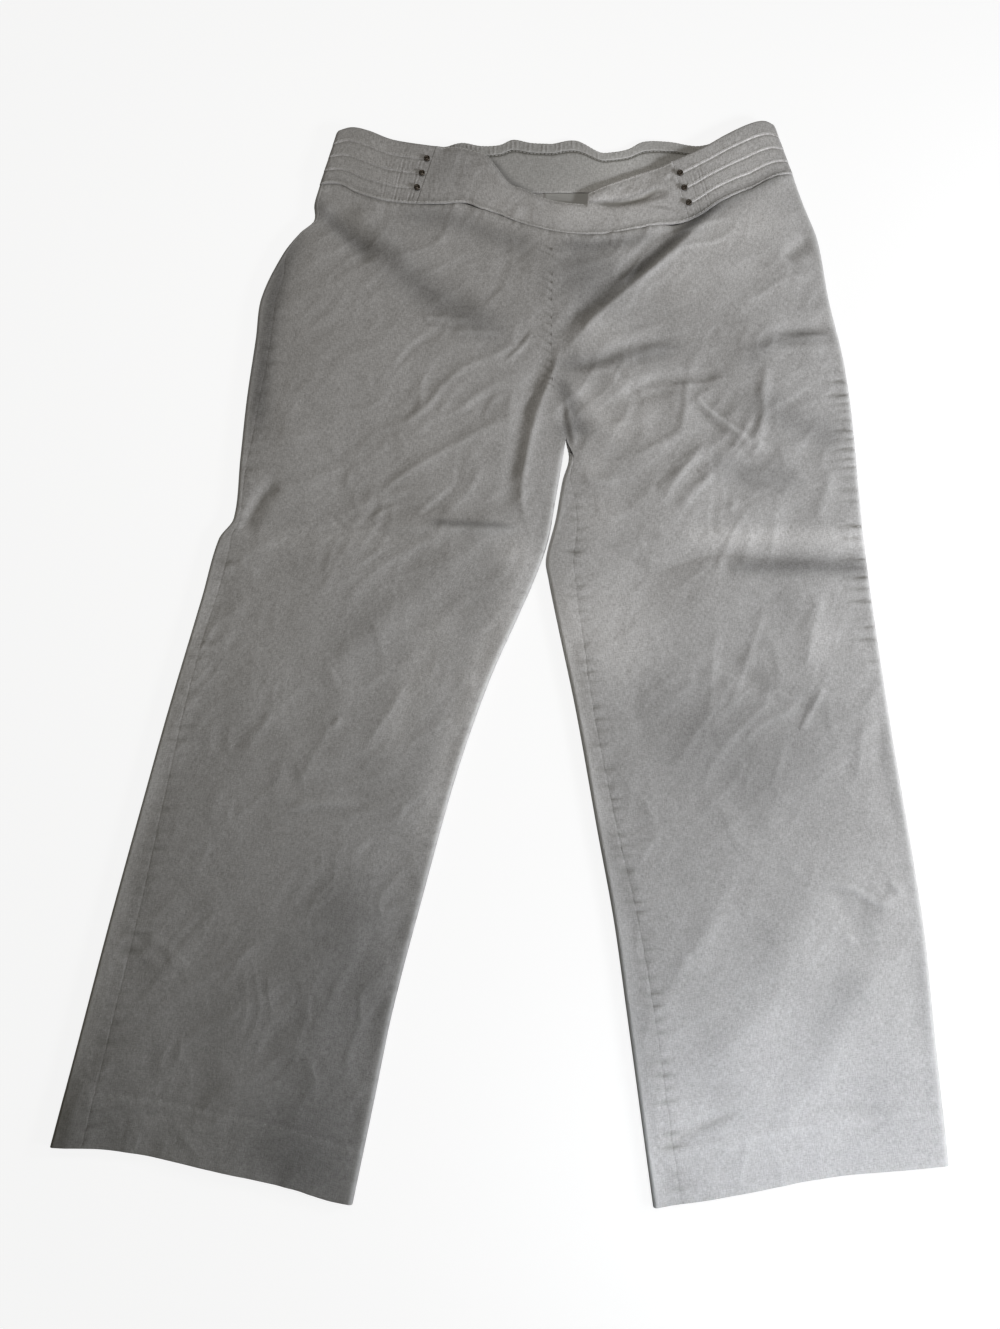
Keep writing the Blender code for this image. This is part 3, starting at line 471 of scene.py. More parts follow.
# Sharp laps of the band, with a groove below
BAND_LAPS = (
    (((73, 350), (92, 350), (109, 352), (122, 356), (130, 361), (143, 361)), 2.0, -1.6),
)
# Soft hills: height, size, seed
BAND_HILLS = ((0.7, 34.0, 61), (0.35, 15.0, 62))
SIDE_HILLS = (0.5, 30.0, 31)
BACK_HILLS = (0.12, 12.0, 63)
BEAD_PATCHES = (9.0, 135)  # size and seed alone
# Rumples: height, size, heading in radians, how much longer than wide, seed
BAND_RUMPLES = (0.3, 12.0, 1.2, 1.8, 66)
# Gathers: height, reach, spacing, seed
BAND_GATHERS = (-0.3, 14.0, 4.4, 130)
SIDE_GATHERS = (-0.5, 18.0, 2.6, 120)
BACK_GATHERS = (0.3, 7.0, 9.0, 140)
SIDE_GATHERS_FROM = 14.0  # from the rivets to their middle
SIDE_GATHERS_TOP = 0.72  # share up the band
BAND_ROLL = (-1.4, 4.5)  # how far the top edge rolls down, over this distance
BAND_LOWEST = -2.7
JOIN_EASE = 10.0         # over which both bands come to one level at their seam
LAP_PAINTED_SHADE = 0.7           # painted shade along a lap's groove, for each millimetre of a lap's height
BAND_TOP_WEAR = (0.3, 1.0)

TUCKS = 4
TUCK_EDGES = np.arange(1, TUCKS) / TUCKS
TUCK_HEIGHT = 0.6
TUCK_ROUND = 0.8         # its lower edge is rounded over this distance
TUCK_GROOVE = (-0.4, 1.1)
TUCK_FADE = 10.0
TUCK_LEAST = 0.05
# Rows up a strip, close together at both its edges
TUCK_UP = np.array((0.0, 0.15, 0.4, 0.7, 1.0, 1.4, 2.2, 3.6, 5.2, 6.8, 8.3, 9.4, 10.2, 10.8, 11.3))
TUCK_EDGE_WEAR_AND_HIGHLIGHT = (0.06, 0.5, 0.8)  # paler along a strip's lower edge, partly rubbed and partly a painted highlight
LAPPED_PAINTED_SHADE = (-0.5, 1.3)  # painted shade just below the next one's
SIDE_END_DARKENING = (-0.5, 0.8)  # darker at the end of the right side band
UNDER_REACH = 30.0
UNDER_COLUMNS = 12
FOLD_COLUMNS = 17
BAND_HEIGHT = 46.0

# Bead over the turned cloth in the band's lower seam, paler along it, partly rubbed and partly a
# painted highlight, with painted shade above it: height or share of the colour change, reach, rise
SEAM_BEAD = (0.14, 0.8, 1.0)
BEAD_WEAR_AND_HIGHLIGHT = (0.55, 0.5, 0.7)
ABOVE_BEAD_PAINTED_SHADE = (-0.3, 1.6, 3.0)

# Back of the waistband, and the gathered casing along its top edge
BACK_FADE = 6.0          # over which its gathers fade towards the lower seam
BACK_MOST = 0.25
UNDER_CASING = (0.3, 1.5, 0.8)  # groove below the casing: depth, reach, how far below
# painted shade in the groove under the casing
UNDER_CASING_PAINTED_SHADE = 1.5
BACK_TOP_WEAR = (0.4, 0.8)
CASING_SHARES = (0.80, 0.98)
CASING_CLOTH = 0.9
CASING_HEIGHT = 0.28     # of the gathers over the elastic
CASING_GATHERS = (1.0, 3.8, 150)
CASING_SMOOTH = (60.0, 60.0)  # from where, and over how far, they fade towards the left side
CASING_EVEN = 0.8        # share by which they fade
CASING_ROUND = 0.35      # power of its dome
CASING_WEAR_AND_PAINTED_SHADING = (0.7, 0.2, 0.4)  # paler along its edges, partly rubbed and partly a painted highlight, and painted light on its gathers' crests with painted shade between: along its edges, on its gathers, and their level without any
CASING_EDGES = ((1.0, 1.1), (0.4, 0.8))  # its upper and lower edge: share of the paler edge, reach

LABEL_CENTRE = (58.0, 353.5)
LABEL_SIZE = (40.0, 18.0, 0.6)
LABEL_TURN = (0.12, 4.0)  # rise of its turned ends, and how far in it goes
LABEL_WAVE = (0.06, 9.0, 64)  # height, size, seed
LABEL_WEAR = 0.8

# ---- Stitches and rivets ----
STITCH_LENGTH = 2.5
STITCH_SPACING = 3.1
THREAD_RADIUS = 0.24
STITCH_LIFT = 0.35       # of its middle above the cloth, in radii
STITCH_SIDES = 6
STITCH_TIP = 0.03        # least square of its radius, in radii
STITCH_INSET = 1.5       # from a tuck's or seam's edge
BAND_SAMPLES = 160       # points on a line of stitches
HEM_SAMPLES = 300
HEM_SPAN = (0.13, 0.9)   # share across from the first to the last pick of a hem
HEM_PICKS = (11.0, 1.2)  # from pick to pick, and a pick's length
CASING_ROWS = (CASING_SHARES[0] - 0.02, CASING_SHARES[1] + 0.008)
CASING_STITCHES = (1.5, 0.2)  # between points of a row, and height over the back band
CASING_ASIDE = 0.02      # share up the band from a row to the points beside it
HEM_ASIDE = 0.001        # share down the leg

RIVET_RADIUS = 2.7
RIVET_SIDES = 48
# Turned profile of a rivet: share of its radius, share of its height
RIVET_PROFILE = (
    (0.0, 0.8), (0.34, 0.78), (0.4, 0.7), (0.48, 0.66), (0.56, 0.72), (0.66, 0.9), (0.76, 1.0),
    (0.86, 0.95), (0.95, 0.72), (1.0, 0.42), (0.99, 0.12), (0.92, 0.0), (0.0, 0.0),
)


# ---- Curves and reliefs ----
def smooth(value):
    """Ease from 0 to 1 with level ends: 3 v^2 - 2 v^3."""
    value = np.clip(value, 0.0, 1.0)
    return value * value * (3.0 - 2.0 * value)


def bell(distance, reach, middle=0.0):
    """1 at its middle, falling softly to both sides: exp(-(d / reach)^2), d the way to it."""
    return np.exp(-(((distance - middle) / reach) ** 2))


def mark(distance, height, reach, middle=0.0):
    """Soft ridge or line of wear: its height times the bell of the distance."""
    return height * bell(distance, reach, middle)


def spline(table, at):
    """Smooth curve through a table whose first column is the key.

    Each piece is a cubic whose end slopes come from the rows on both sides.
    """
    table = np.asarray(table, dtype=float)
    keys = table[:, 0]
    values = table[:, 1:]
    after = np.minimum(np.arange(len(keys)) + 1, len(keys) - 1)
    before = np.maximum(np.arange(len(keys)) - 1, 0)
    slopes = (values[after] - values[before]) / (keys[after] - keys[before])[:, None]
    at = np.clip(np.asarray(at, dtype=float), keys[0], keys[-1])
    left = np.clip(np.searchsorted(keys, at, side="right") - 1, 0, len(keys) - 2)
    span = (keys[left + 1] - keys[left])[..., None]
    t = (at - keys[left])[..., None] / span
    rise = t * t * (3.0 - 2.0 * t)
    return (
        values[left] * (1.0 - rise)
        + values[left + 1] * rise
        + slopes[left] * span * t * (1.0 - t) ** 2
        - slopes[left + 1] * span * t * t * (1.0 - t)
    )


def travel(points):
    """Distance along a line at each of its points, and its whole length."""
    steps = np.linalg.norm(np.diff(points, axis=0), axis=1)
    return np.concatenate(([0.0], np.cumsum(steps))), steps.sum()


def spline_through(points, at):
    """Smooth curve through points, keyed by the share of the length between them."""
    points = np.asarray(points, dtype=float)
    travelled, length = travel(points)
    return spline(np.column_stack((travelled / length, points)), at)


def crease_profile(line, half_width, height, kind, x, y):
    """Height of one crease at these points, with d the distance from its line.

    A soft ridge is height * exp(-(d / w)^2). A stepped crease is height * (d / w) times
    that, with d positive on its high side. A sharp one is height * exp(-d / w), its very
    crest rounded. All fade towards the ends of the line.
    """
    points = spline_through(line, np.linspace(0.0, 1.0, CREASE_PIECES + 1))
    nearest = np.full(x.shape, np.inf)
    side = np.zeros_like(x)
    strength = np.zeros_like(x)
    chord = points[-1] - points[0]
    turn = np.sign(chord[0] * HIGH_SIDE[1] - chord[1] * HIGH_SIDE[0])
    for index in range(CREASE_PIECES):
        origin = points[index]
        along = points[index + 1] - origin
        u = x - origin[0]
        v = y - origin[1]
        t = np.clip((u * along[0] + v * along[1]) / (along @ along), 0.0, 1.0)
        distance = np.hypot(u - t * along[0], v - t * along[1])
        share = (index + t) / CREASE_PIECES
        fade = smooth(np.minimum(share, 1.0 - share) / END_FADES[kind])
        closer = distance < nearest
        nearest = np.where(closer, distance, nearest)
        side = np.where(closer, np.sign(along[0] * v - along[1] * u), side)
        strength = np.where(closer, fade, strength)
    if kind == "soft":
        return height * strength * bell(nearest, half_width)
    width = half_width * (END_WIDTH + (1.0 - END_WIDTH) * strength)
    if kind == "sharp":
        beyond = np.hypot(nearest, SHARPNESS) - SHARPNESS
        return height * strength * np.exp(-beyond / width)
    across = turn * side * nearest / width
    return height * strength * across * bell(across, 1.0)


def creases(x, y, rows, kind="soft"):
    """Sum of the creases in a table, each worked out only near its own line."""
    total = np.zeros(x.shape)
    for line, half_width, height in rows:
        corners = np.asarray(line, dtype=float)
        low = corners.min(axis=0) - REACH[kind] * half_width
        high = corners.max(axis=0) + REACH[kind] * half_width
        near = (x > low[0]) & (x < high[0]) & (y > low[1]) & (y < high[1])
        if near.any():
            total[near] += crease_profile(line, half_width, height, kind, x[near], y[near])
    return total


def hills(x, y, size, seed):
    """Soft hills about this size, within about -1 and 1.

    Each corner of a square lattice has a slope in a seeded direction. The height is the
    eased blend, over the four corners round a point, of the slope times the way to it.
    """
    turn = np.random.default_rng(seed).uniform(0.0, 2.0 * math.pi, (LATTICE, LATTICE))
    u = x / size
    v = y / size
    i = np.floor(u).astype(int)
    j = np.floor(v).astype(int)
    s = u - i
    t = v - j
    total = np.zeros(np.shape(u + v))
    for right in (0, 1):
        for up in (0, 1):
            angle = turn[(i + right) % LATTICE, (j + up) % LATTICE]
            way = (s - right) * np.cos(angle) + (t - up) * np.sin(angle)
            share = smooth(s if right else 1.0 - s) * smooth(t if up else 1.0 - t)
            total = total + share * way
    return HILL_GAIN * total


def crumple(x, y, size, heading, stretch, seed):
    """Soft folds with narrower crests, longer along their heading, each with a steep side.

    With n soft hills over coordinates turned to the heading, in radians, drawn out along
    it and bent by slower hills, the height is level - sqrt(n^2 + round), plus
    L (n / w) exp(-(n / w)^2), a step up to where n is above 0.
    """
    far, slow = BEND
    level, roundness = CREST
    along = (x * math.cos(heading) + y * math.sin(heading)) / stretch
    across = y * math.cos(heading) - x * math.sin(heading)
    bend = far * size * hills(x, y, slow * size, seed + BEND_SEED)
    folds = hills(along + bend, across - bend, size, seed)
    lap = folds / LAP_WIDTH
    return level - np.sqrt(folds**2 + roundness) + LAP_HEIGHT * lap * bell(lap, 1.0)


def spots(x, y, rows):
    """Sum of round spots: each its value times exp(-(d / reach)^2), d from its centre."""
    total = np.zeros(np.shape(x))
    for centre_x, centre_y, reach, value in rows:
        square = (x - centre_x) ** 2 + (y - centre_y) ** 2
        total = total + value * np.exp(-square / reach**2)
    return total


def rumpled(x, y):
    """Height of the hills and rumples of the cloth, uneven from place to place.

    Hills plus rumples, each rumple times an eased share, and the sum times 1 plus spots.
    """
    total = np.zeros(np.shape(x))
    for height, size, seed in HILLS:
        total = total + height * hills(x, y, size, seed)
    mean, change, slow = UNEVEN
    for height, size, heading, stretch, seed, uneven_seed in RUMPLES:
        uneven = smooth(mean + change * hills(x, y, slow * size, uneven_seed))
        folds = crumple(x, y, size, math.radians(heading), stretch, seed)
        total = total + height * uneven * folds
    return total * (1.0 + spots(x, y, RUMPLED))


def ripples(away, along, reach, spacing, seed, lean=0.0, power=3):
    """Short uneven ripples that cross a seam, between 0 and 1.

    A wave along the seam, to a power so that its crests are narrow, whose phase wanders and
    whose crests come and go. It fades away from the seam as exp(-(away / reach)^2).
    """
    wander = hills(along, np.zeros_like(along), WANDER[1] * spacing, seed)
    swell = hills(along, np.zeros_like(along), SWELL[2] * spacing, seed + 1)
    phase = 2.0 * math.pi * ((along + lean * away) / spacing + WANDER[0] * wander)
    crest = (0.5 + 0.5 * np.sin(phase)) ** power
    return crest * smooth(SWELL[0] + SWELL[1] * swell) * bell(away, reach)


def settled(relief, lowest):
    """Keep a trough above the layer below it, levelling out softly."""
    room = relief - lowest
    return lowest + 0.5 * (room + np.sqrt(room**2 + HEADROOM**2))


def round_edge(run, radius, cloth, rounding=1.0):
    """Walk round a soft fold of the flattened tube.

    run is 0 on the outermost line, positive over the top and negative underneath. Up to
    a quarter turn to both sides, with a the angle run / R, the inset is R (1 - cos a) and
    the height R (1 + sin a). Beyond it the walk goes on level. The inner face has the
    same centre and a radius less by the cloth.
    rounding is 1 on a fold and 0 where both layers run level to the edge.
    Returns inset and height of the outer face, then of the inner face.
    """
    quarter = radius * math.pi / 2.0
    angle = np.clip(run, -quarter, quarter) / radius
    beyond = np.abs(run) - radius * np.abs(angle)
    beyond = beyond - radius * (1.0 - rounding) * np.abs(np.sin(angle))
    inner_radius = radius - cloth
    return (
        radius - radius * np.cos(angle) + beyond,
        radius + radius * np.sin(angle),
        radius - inner_radius * np.cos(angle) + beyond,
        radius + inner_radius * np.sin(angle),
    )


def stations(length, spacing):
    """An odd number of distances from 0 to length, close together at both ends."""
    count = int((length - 2.0 * BORDER[-1]) / spacing) // 2 * 2 + 1
    middle = np.linspace(BORDER[-1], length - BORDER[-1], count)
    return np.concatenate((BORDER[:-1], middle, length - BORDER[-2::-1]))


def row_shares(length, spacing):
    """The same as shares of the length, one for each row."""
    return (stations(length, spacing) / length)[:, None]


def folded(down):
    """1 below the crotch, where a leg's inner edge is a fold, and 0 along the centre seam."""
    return smooth((down - CROTCH) / ROUNDING)


def seam_distance(table, down):
    """Distance from a fold to its seam. Without a table the seam lies on the fold."""
    if table is None:
        return np.zeros_like(down)
    return spline(table, down)[..., 0]


def under_runs(seam, down):
    """Distances round an edge from a back panel's seam to the underside."""
    start = seam_distance(seam, down) - SEAM_GAP / 2.0
    if seam is None:
        return start + (-QUARTER - start) * UNDER_SHARES
    over = start + (QUARTER - start) * STRIP_SHARES
    arc = np.linspace(QUARTER, -QUARTER, ARC_COLUMNS)[1:] + np.zeros_like(start)
    return np.hstack((over, arc))


def cloth_at(down):
    """Thickness of the leg's cloth, doubled over the turned-up hem."""
    return CLOTH + (HEM_CLOTH - CLOTH) * smooth((down - HEM_TOP) / HEM_STEP + 1.0)


def join_columns(width, outer, inner, count, levels):
    """Shares across and heights of a panel's columns, for its outer and its inner face.

    outer and inner are what round_edge gives for the panel's two edges. Between them
    this many columns share what is left evenly, at each face's level.
    """
    shares = np.linspace(0.0, 1.0, count + 2)[1:-1]
    faces = []
    for face, level in enumerate(levels):
        outer_inset, outer_height = outer[2 * face : 2 * face + 2]
        inner_inset, inner_height = inner[2 * face : 2 * face + 2]
        first = outer_inset[:, -1:] / width
        last = 1.0 - inner_inset[:, -1:] / width
        middle = first + (last - first) * shares
        across = np.hstack((outer_inset / width, middle, 1.0 - inner_inset[:, ::-1] / width))
        flat = np.broadcast_to(level, middle.shape)
        heights = np.hstack((outer_height, flat, inner_height[:, ::-1]))
        faces.append((across, heights))
    return faces


# ---- Legs ----
class Leg:
    """Outline of one leg in plan, where its seams lie, and its creased surfaces."""

    def __init__(self, side):
        self.side = side
        self.sign = -1.0 if side == "right" else 1.0
        self.shape = LEGS[side]
        self.outseam = self.shape["outseam"]
        self.inseam = self.shape["inseam"]
        corner = self.shape["outer"][0][1:]
        foot = self.shape["outer"][-1][1:]
        self.waist_front = (corner, *self.shape["waist_front"], CENTRE_SEAM[0][1:])
        self.waist_back = (corner, *self.shape["waist_back"], CENTRE_BACK)
        self.hem = (foot, *self.shape["hem"], self.shape["inner"][-1][1:])
        self.length = np.hypot(*(np.array(foot) - np.array(corner)))
        self.waist_width = self.width(np.zeros((1, 1)))[0, 0]

    def outer(self, down):
        return spline(self.shape["outer"], down)

    def inner(self, down, start):
        """Centre seam down to the crotch, then the inner edge of the leg."""
        centre_table = ((0.0, *start), *CENTRE_SEAM[1:])
        centre = spline(centre_table, down) + np.array((self.sign * SEAM_GAP / 2.0, 0.0))
        leg = spline(self.shape["inner"], np.maximum(down, CROTCH))
        return np.where((down < CROTCH + TINY)[..., None], centre, leg)

    def width(self, down):
        span = self.inner(down, CENTRE_SEAM[0][1:]) - self.outer(down)
        return np.linalg.norm(span, axis=-1)

    def plan(self, across, down, waist):
        """Point of the leg in plan: a patch blended from its four boundary curves.

        It lies straight across between the two sides, plus how far the waist seam and the
        hem bow from their chords there, each faded evenly towards the other.
        """
        across, down = np.broadcast_arrays(across, down)
        a = across[..., None]
        d = down[..., None]
        start = waist[-1]
        top = spline_through(waist, across)
        bottom = spline_through(self.hem, across)
        top_chord = (1.0 - a) * np.array(waist[0]) + a * np.array(start)
        bottom_chord = (1.0 - a) * np.array(self.hem[0]) + a * np.array(self.hem[-1])
        sides = (1.0 - a) * self.outer(down) + a * self.inner(down, start)
        return sides + (1.0 - d) * (top - top_chord) + d * (bottom - bottom_chord)

    def seam_offsets(self, across, down):
        """Signed distances in plan from the outer and from the inner seam."""
        width = self.width(down)
        outer, inner = [
            np.maximum(seam_distance(seam, down) - QUARTER + EDGE_RADIUS, 0.0)
            for seam in (self.outseam, self.inseam)
        ]
        return across * width - outer, (1.0 - across) * width - inner * folded(down)

    def relief(self, points, across, down):
        """Height of the folds, creases, puckers and hem above the smooth panel."""
        across, down = np.broadcast_arrays(across, down)
        x = points[..., 0]
        y = points[..., 1]
        width = self.width(down)
        from_inner = (1.0 - across) * width + (1.0 - folded(down)) * 2.0 * FADE_WIDTH
        fade = smooth(np.minimum(across * width, from_inner) / FADE_WIDTH)
        body = creases(x, y, FRONT_FOLDS) + creases(x, y, RIDGES) + spots(x, y, SWELLS)
        body = body + creases(x, y, STEPS, "stepped") + creases(x, y, SHARP_FOLDS, "sharp")
        return fade * (body + rumpled(x, y)) + self.seams(across, down)

    def seams(self, across, down):
        """Grooves and ridges along the seams, their puckers, and the turned-up hem."""
        along = down * self.length
        total = np.zeros(np.shape(along))
        centre = CENTRE_GROOVE + (1.0 - CENTRE_GROOVE) * folded(down)
        for offset, share in zip(self.seam_offsets(across, down), (1.0, centre)):
            away = np.abs(offset)
            total = total + share * SEAM_GROOVE[0] * bell(away, SEAM_GROOVE[1])
            total = total + SEAM_RIDGE[0] * smooth(2.0 * (1.0 - away / SEAM_RIDGE[1]))
        total = total + self.puckers(across, down) + mark(along, *WAIST_RISE)
        below = (down - HEM_TOP) * self.length
        uneven, spacing = HEM_DIMPLES
        wave = np.sin(2.0 * math.pi * across * self.width(down) / spacing)
        dimples = 1.0 - uneven + uneven * wave
        total = total + HEM_GROOVE[0] * dimples * bell(below, HEM_GROOVE[1])
        total = total + HEM_RISE[0] * smooth(below / HEM_RISE[1] + 0.5)
        depth, *shape = WAIST_GATHERS
        return total + depth * ripples(along, across * self.width(down), *shape)

    def puckers(self, across, down):
        """Short puckers across the leg's seams, below 0 in each."""
        along = down * self.length
        offsets = dict(zip(("outer", "inner"), self.seam_offsets(across, down)))
        total = np.zeros(np.shape(along))
        for leg, seam, start, end, height, *shape in PUCKERS:
            if leg == self.side:
                zone = smooth((down - start) / PUCKER_FADE)
                zone = zone * smooth((end + PUCKER_MARGIN - down) / PUCKER_FADE)
                wave = ripples(np.abs(offsets[seam]), along, *shape, PUCKER_POWER)
                total = total + zone * height * wave
        return total

    def front_height(self, points, across, down):
        return settled(self.relief(points, across, down), LOWEST)

    def front_point(self, across, down):
        """Point on top of the front panel, away from its folded edges."""
        points = self.plan(across, down, self.waist_front)
        height = 2.0 * EDGE_RADIUS + self.front_height(points, across, down)
        return np.dstack((points, height))

    def front_columns(self, down, cloth):
        """Columns of the front panel, from its outer seam over the leg to its inner seam."""
        steps = np.concatenate((BORDER, np.linspace(BORDER[-1], EDGE_WIDTH, EDGE_COLUMNS)[1:]))
        rounding = folded(down)
        seam = seam_distance(self.inseam, down) + SEAM_GAP / 2.0
        start = rounding * seam + (1.0 - rounding) * QUARTER
        outer_run = seam_distance(self.outseam, down) + SEAM_GAP / 2.0 + steps
        outer = round_edge(outer_run, EDGE_RADIUS, cloth)
        inner = round_edge(start + steps, EDGE_RADIUS, cloth, rounding)
        width = self.width(down)
        count = int((width.max() - 2.0 * EDGE_WIDTH) / FINE) // 2 * 2 + 1
        top = 2.0 * EDGE_RADIUS
        return join_columns(width, outer, inner, count, (top, top - cloth))

    def front_panel(self):
        """Outer and inner face of the front panel, the cloth's own coordinates, and its rubbing and
        painted light and shade.
        """
        down = row_shares(self.length, FINE)
        columns = self.front_columns(down, cloth_at(down))
        places = [self.plan(across, down, self.waist_front) for across, _ in columns]
        across = columns[0][0]
        relief = self.front_height(places[0], across, down)
        faces = [
            np.dstack((points, heights + relief))
            for points, (_, heights) in zip(places, columns)
        ]
        return faces, self.grain(across, down), self.wear_and_painted_shading(relief, across, down)

    def wear_and_painted_shading(self, relief, across, down):
        """Painted shade in the seams' grooves, beside them and in the puckers, painted light on the
        rounded side edges, painted shade under the waistband, and paler along the hem's rubbed edge.

        On small crests it is paler, partly rubbed and partly painted light, and in small hollows
        deeper, as painted shade. A crest is where the height stands above the mean of the points
        three steps off.
        """
        mean = np.zeros_like(relief)
        for axis in (0, 1):
            mean = mean + 0.25 * (np.roll(relief, 3, axis) + np.roll(relief, -3, axis))
        crest, most = CREST_WEAR_AND_PAINTED_SHADING
        total = np.clip(crest * (relief - mean), -most, most)
        plain = folded(down)
        width = self.width(down)
        for offset, share in zip(self.seam_offsets(across, down), (1.0, plain)):
            away = np.abs(offset)
            total = total + share * (mark(away, *SEAM_PAINTED_SHADE) + mark(away, *BESIDE_SEAM_PAINTED_SHADE))
        total = total + PUCKER_PAINTED_SHADE * self.puckers(across, down)
        total = total + mark(across * width, *EDGE_PAINTED_LIGHT)
        total = total + plain * mark((1.0 - across) * width, *EDGE_PAINTED_LIGHT)
        total = total + mark(down * self.length, *UNDER_BAND_PAINTED_SHADE)
        return total + mark((1.0 - down) * self.length, *HEM_WEAR)

    def grain(self, across, down):
        """The cloth's own coordinates: sideways from the leg's middle, and along it."""
        sideways = (across - 0.5) * self.width(down)
        return np.dstack(np.broadcast_arrays(sideways, -down * self.length))

    def back_columns(self, down, cloth):
        """Columns of the back panel, from its outer seam under the leg to its inner seam."""
        rounding = folded(down)
        outer = round_edge(under_runs(self.outseam, down), EDGE_RADIUS, cloth)
        bent = under_runs(self.inseam, down)
        level = -QUARTER - np.linspace(0.0, EDGE_WIDTH, bent.shape[1])
        inner_run = rounding * bent + (1.0 - rounding) * level
        inner = round_edge(inner_run, EDGE_RADIUS, cloth, rounding)
        count = BACK_COLUMNS - (outer[0].shape[1] + bent.shape[1]) % 2
        return join_columns(self.width(down), outer, inner, count, (0.0, cloth))

    def back_panel(self):
        """Outer and inner face of the back panel, the cloth's own coordinates, and its rubbing and
        painted light and shade.

        lift is 0 under the leg and 1 over it, and carries a point from the back waist's
        plan to the front's, with its share of the front's relief.
        """
        down = row_shares(self.length, MIDDLING)
        columns = self.back_columns(down, cloth_at(down))
        lift = columns[0][1] / (2.0 * EDGE_RADIUS)
        faces = []
        reliefs = []
        for across, heights in columns:
            under = self.plan(across, down, self.waist_back)
            over = self.plan(across, down, self.waist_front)
            points = under * (1.0 - lift[..., None]) + over * lift[..., None]
            reliefs.append(self.front_height(over, across, down) * lift)
            faces.append(np.dstack((points, heights + reliefs[-1])))
        across = columns[0][0]
        grain = self.grain(across + UNDER_SHIFT * (1.0 - lift), down)
        return faces, grain, self.wear_and_painted_shading(reliefs[0], across, down)


# ---- Waistband ----
def band_point(leg, across, share, over):
    """Point of the waistband in plan, straight up from its lower seam to its top edge.

    share is 0 on the seam and 1 on the top edge. over is 1 on the front layer and 0 on
    the back layer, and between them both curves are blended evenly.
    """
    across, share, over = np.broadcast_arrays(across, share, over)
    front_top = spline(leg.shape["band_top"], across)
    if leg.shape["turned_top"] is not None:
        turned = (across > TURNED_SHARE)[..., None]
        front_top = np.where(turned, spline(leg.shape["turned_top"], across), front_top)
    over = over[..., None]
    top = over * front_top + (1.0 - over) * spline(leg.shape["back_top"], across)
    front_seam = spline_through(leg.waist_front, across)
    seam = over * front_seam + (1.0 - over) * spline_through(leg.waist_back, across)
    seam = seam + np.array((0.0, WAIST_GAP))
    share = share[..., None]
    return (1.0 - share) * seam + share * top


def band_columns(leg, start, spacing):
    """Shares across to the centre on the right side, and on from the centre on the left."""
    count = int((1.0 - start) * leg.waist_width / spacing) // 2 * 2
    across = np.linspace(start, 1.0, count + 1)
    return across if leg.side == "right" else across[-2::-1]


def rivet_station(leg):
    """Share across at which the side band ends, beside its rivets."""
    seam = seam_distance(leg.outseam, np.zeros((1, 1)))[0, 0] + SEAM_GAP / 2.0
    first = round_edge(seam + EDGE_WIDTH, EDGE_RADIUS, CLOTH)[0] / leg.waist_width
    inset = round_edge(QUARTER + EDGE_WIDTH, EDGE_RADIUS, CLOTH, 0.0)[0]
    last = 1.0 - inset / leg.waist_width
    return first + (last - first) * leg.shape["rivets_across"]


def tuck_strip(share):
    """Where a share up the band lies on the lapped strips.

    Returns the share up its strip, the distances above the strip's lower edge and below
    the next one's, and whether there is a next one.
    """
    strip = share * TUCKS
    t = strip - np.minimum(np.floor(strip + TINY), TUCKS - 1)
    lapped = share < 1.0 - 1.0 / TUCKS
    return t, t * BAND_HEIGHT / TUCKS, (1.0 - t) * BAND_HEIGHT / TUCKS, lapped


def tuck_raise(share):
    """Height of the lapped strips: each stands proud at its rounded lower edge.

    t runs from 0 at a strip's lower edge to 1 at its upper edge: H (1 - t), times a
    quarter circle over the first millimetre, less a groove under the next strip's edge.
    """
    t, above, below, lapped = tuck_strip(share)
    near = np.clip(above / TUCK_ROUND, 0.0, 1.0)
    groove = lapped * mark(below, *TUCK_GROOVE)
    return TUCK_HEIGHT * (1.0 - t) * np.sqrt(1.0 - (1.0 - near) ** 2) + groove


def tuck_wear_and_painted_shading(share):
    """Paler along each strip's lower edge, partly rubbed and partly a painted highlight, with painted
    shade just below it.
    """
    _, above, below, lapped = tuck_strip(share)
    return mark(above, *TUCK_EDGE_WEAR_AND_HIGHLIGHT) + lapped * mark(below, *LAPPED_PAINTED_SHADE)


def tuck_rows():
    """Shares up the band, close together at both edges of each strip."""
    strip = BAND_HEIGHT / TUCKS
    rows = np.concatenate([(number * strip + TUCK_UP) / BAND_HEIGHT for number in range(TUCKS)])
    return np.append(rows, 1.0)[:, None]


def side_band_surface(leg, across, share, height):
    """Outer face of the side band above height, the plain fold's.

    The tucks fade towards the rivets, and gathers and a soft sag lie beside them.
    """
    over = height / (2.0 * BAND_RADIUS)
    to_rivets = (rivet_station(leg) - across) * leg.waist_width
    fade = TUCK_LEAST + (1.0 - TUCK_LEAST) * smooth(to_rivets / TUCK_FADE)
    points = band_point(leg, across, share, over)
    depth, *shape = SIDE_GATHERS
    gathers = ripples(to_rivets - SIDE_GATHERS_FROM, across * leg.waist_width, *shape)
    most, *shape = SIDE_HILLS
    sag = hills(points[..., 0], points[..., 1], *shape) * most * smooth(to_rivets / JOIN_EASE)
    lift = tuck_raise(share) * fade + depth * gathers * (share < SIDE_GATHERS_TOP)
    lift = lift + sag + mark(share * BAND_HEIGHT, *SEAM_BEAD)
    return np.dstack((points, height + lift * over))


def bead_wear_and_painted_shading(rise, along):
    """Paler on the bead, partly rubbed and partly a painted highlight, here and there more than
    elsewhere, with painted shade above it.
    """
    uneven = 0.5 + 0.5 * hills(along, np.zeros_like(along), *BEAD_PATCHES)
    return uneven * mark(rise, *BEAD_WEAR_AND_HIGHLIGHT) + mark(rise, *ABOVE_BEAD_PAINTED_SHADE)


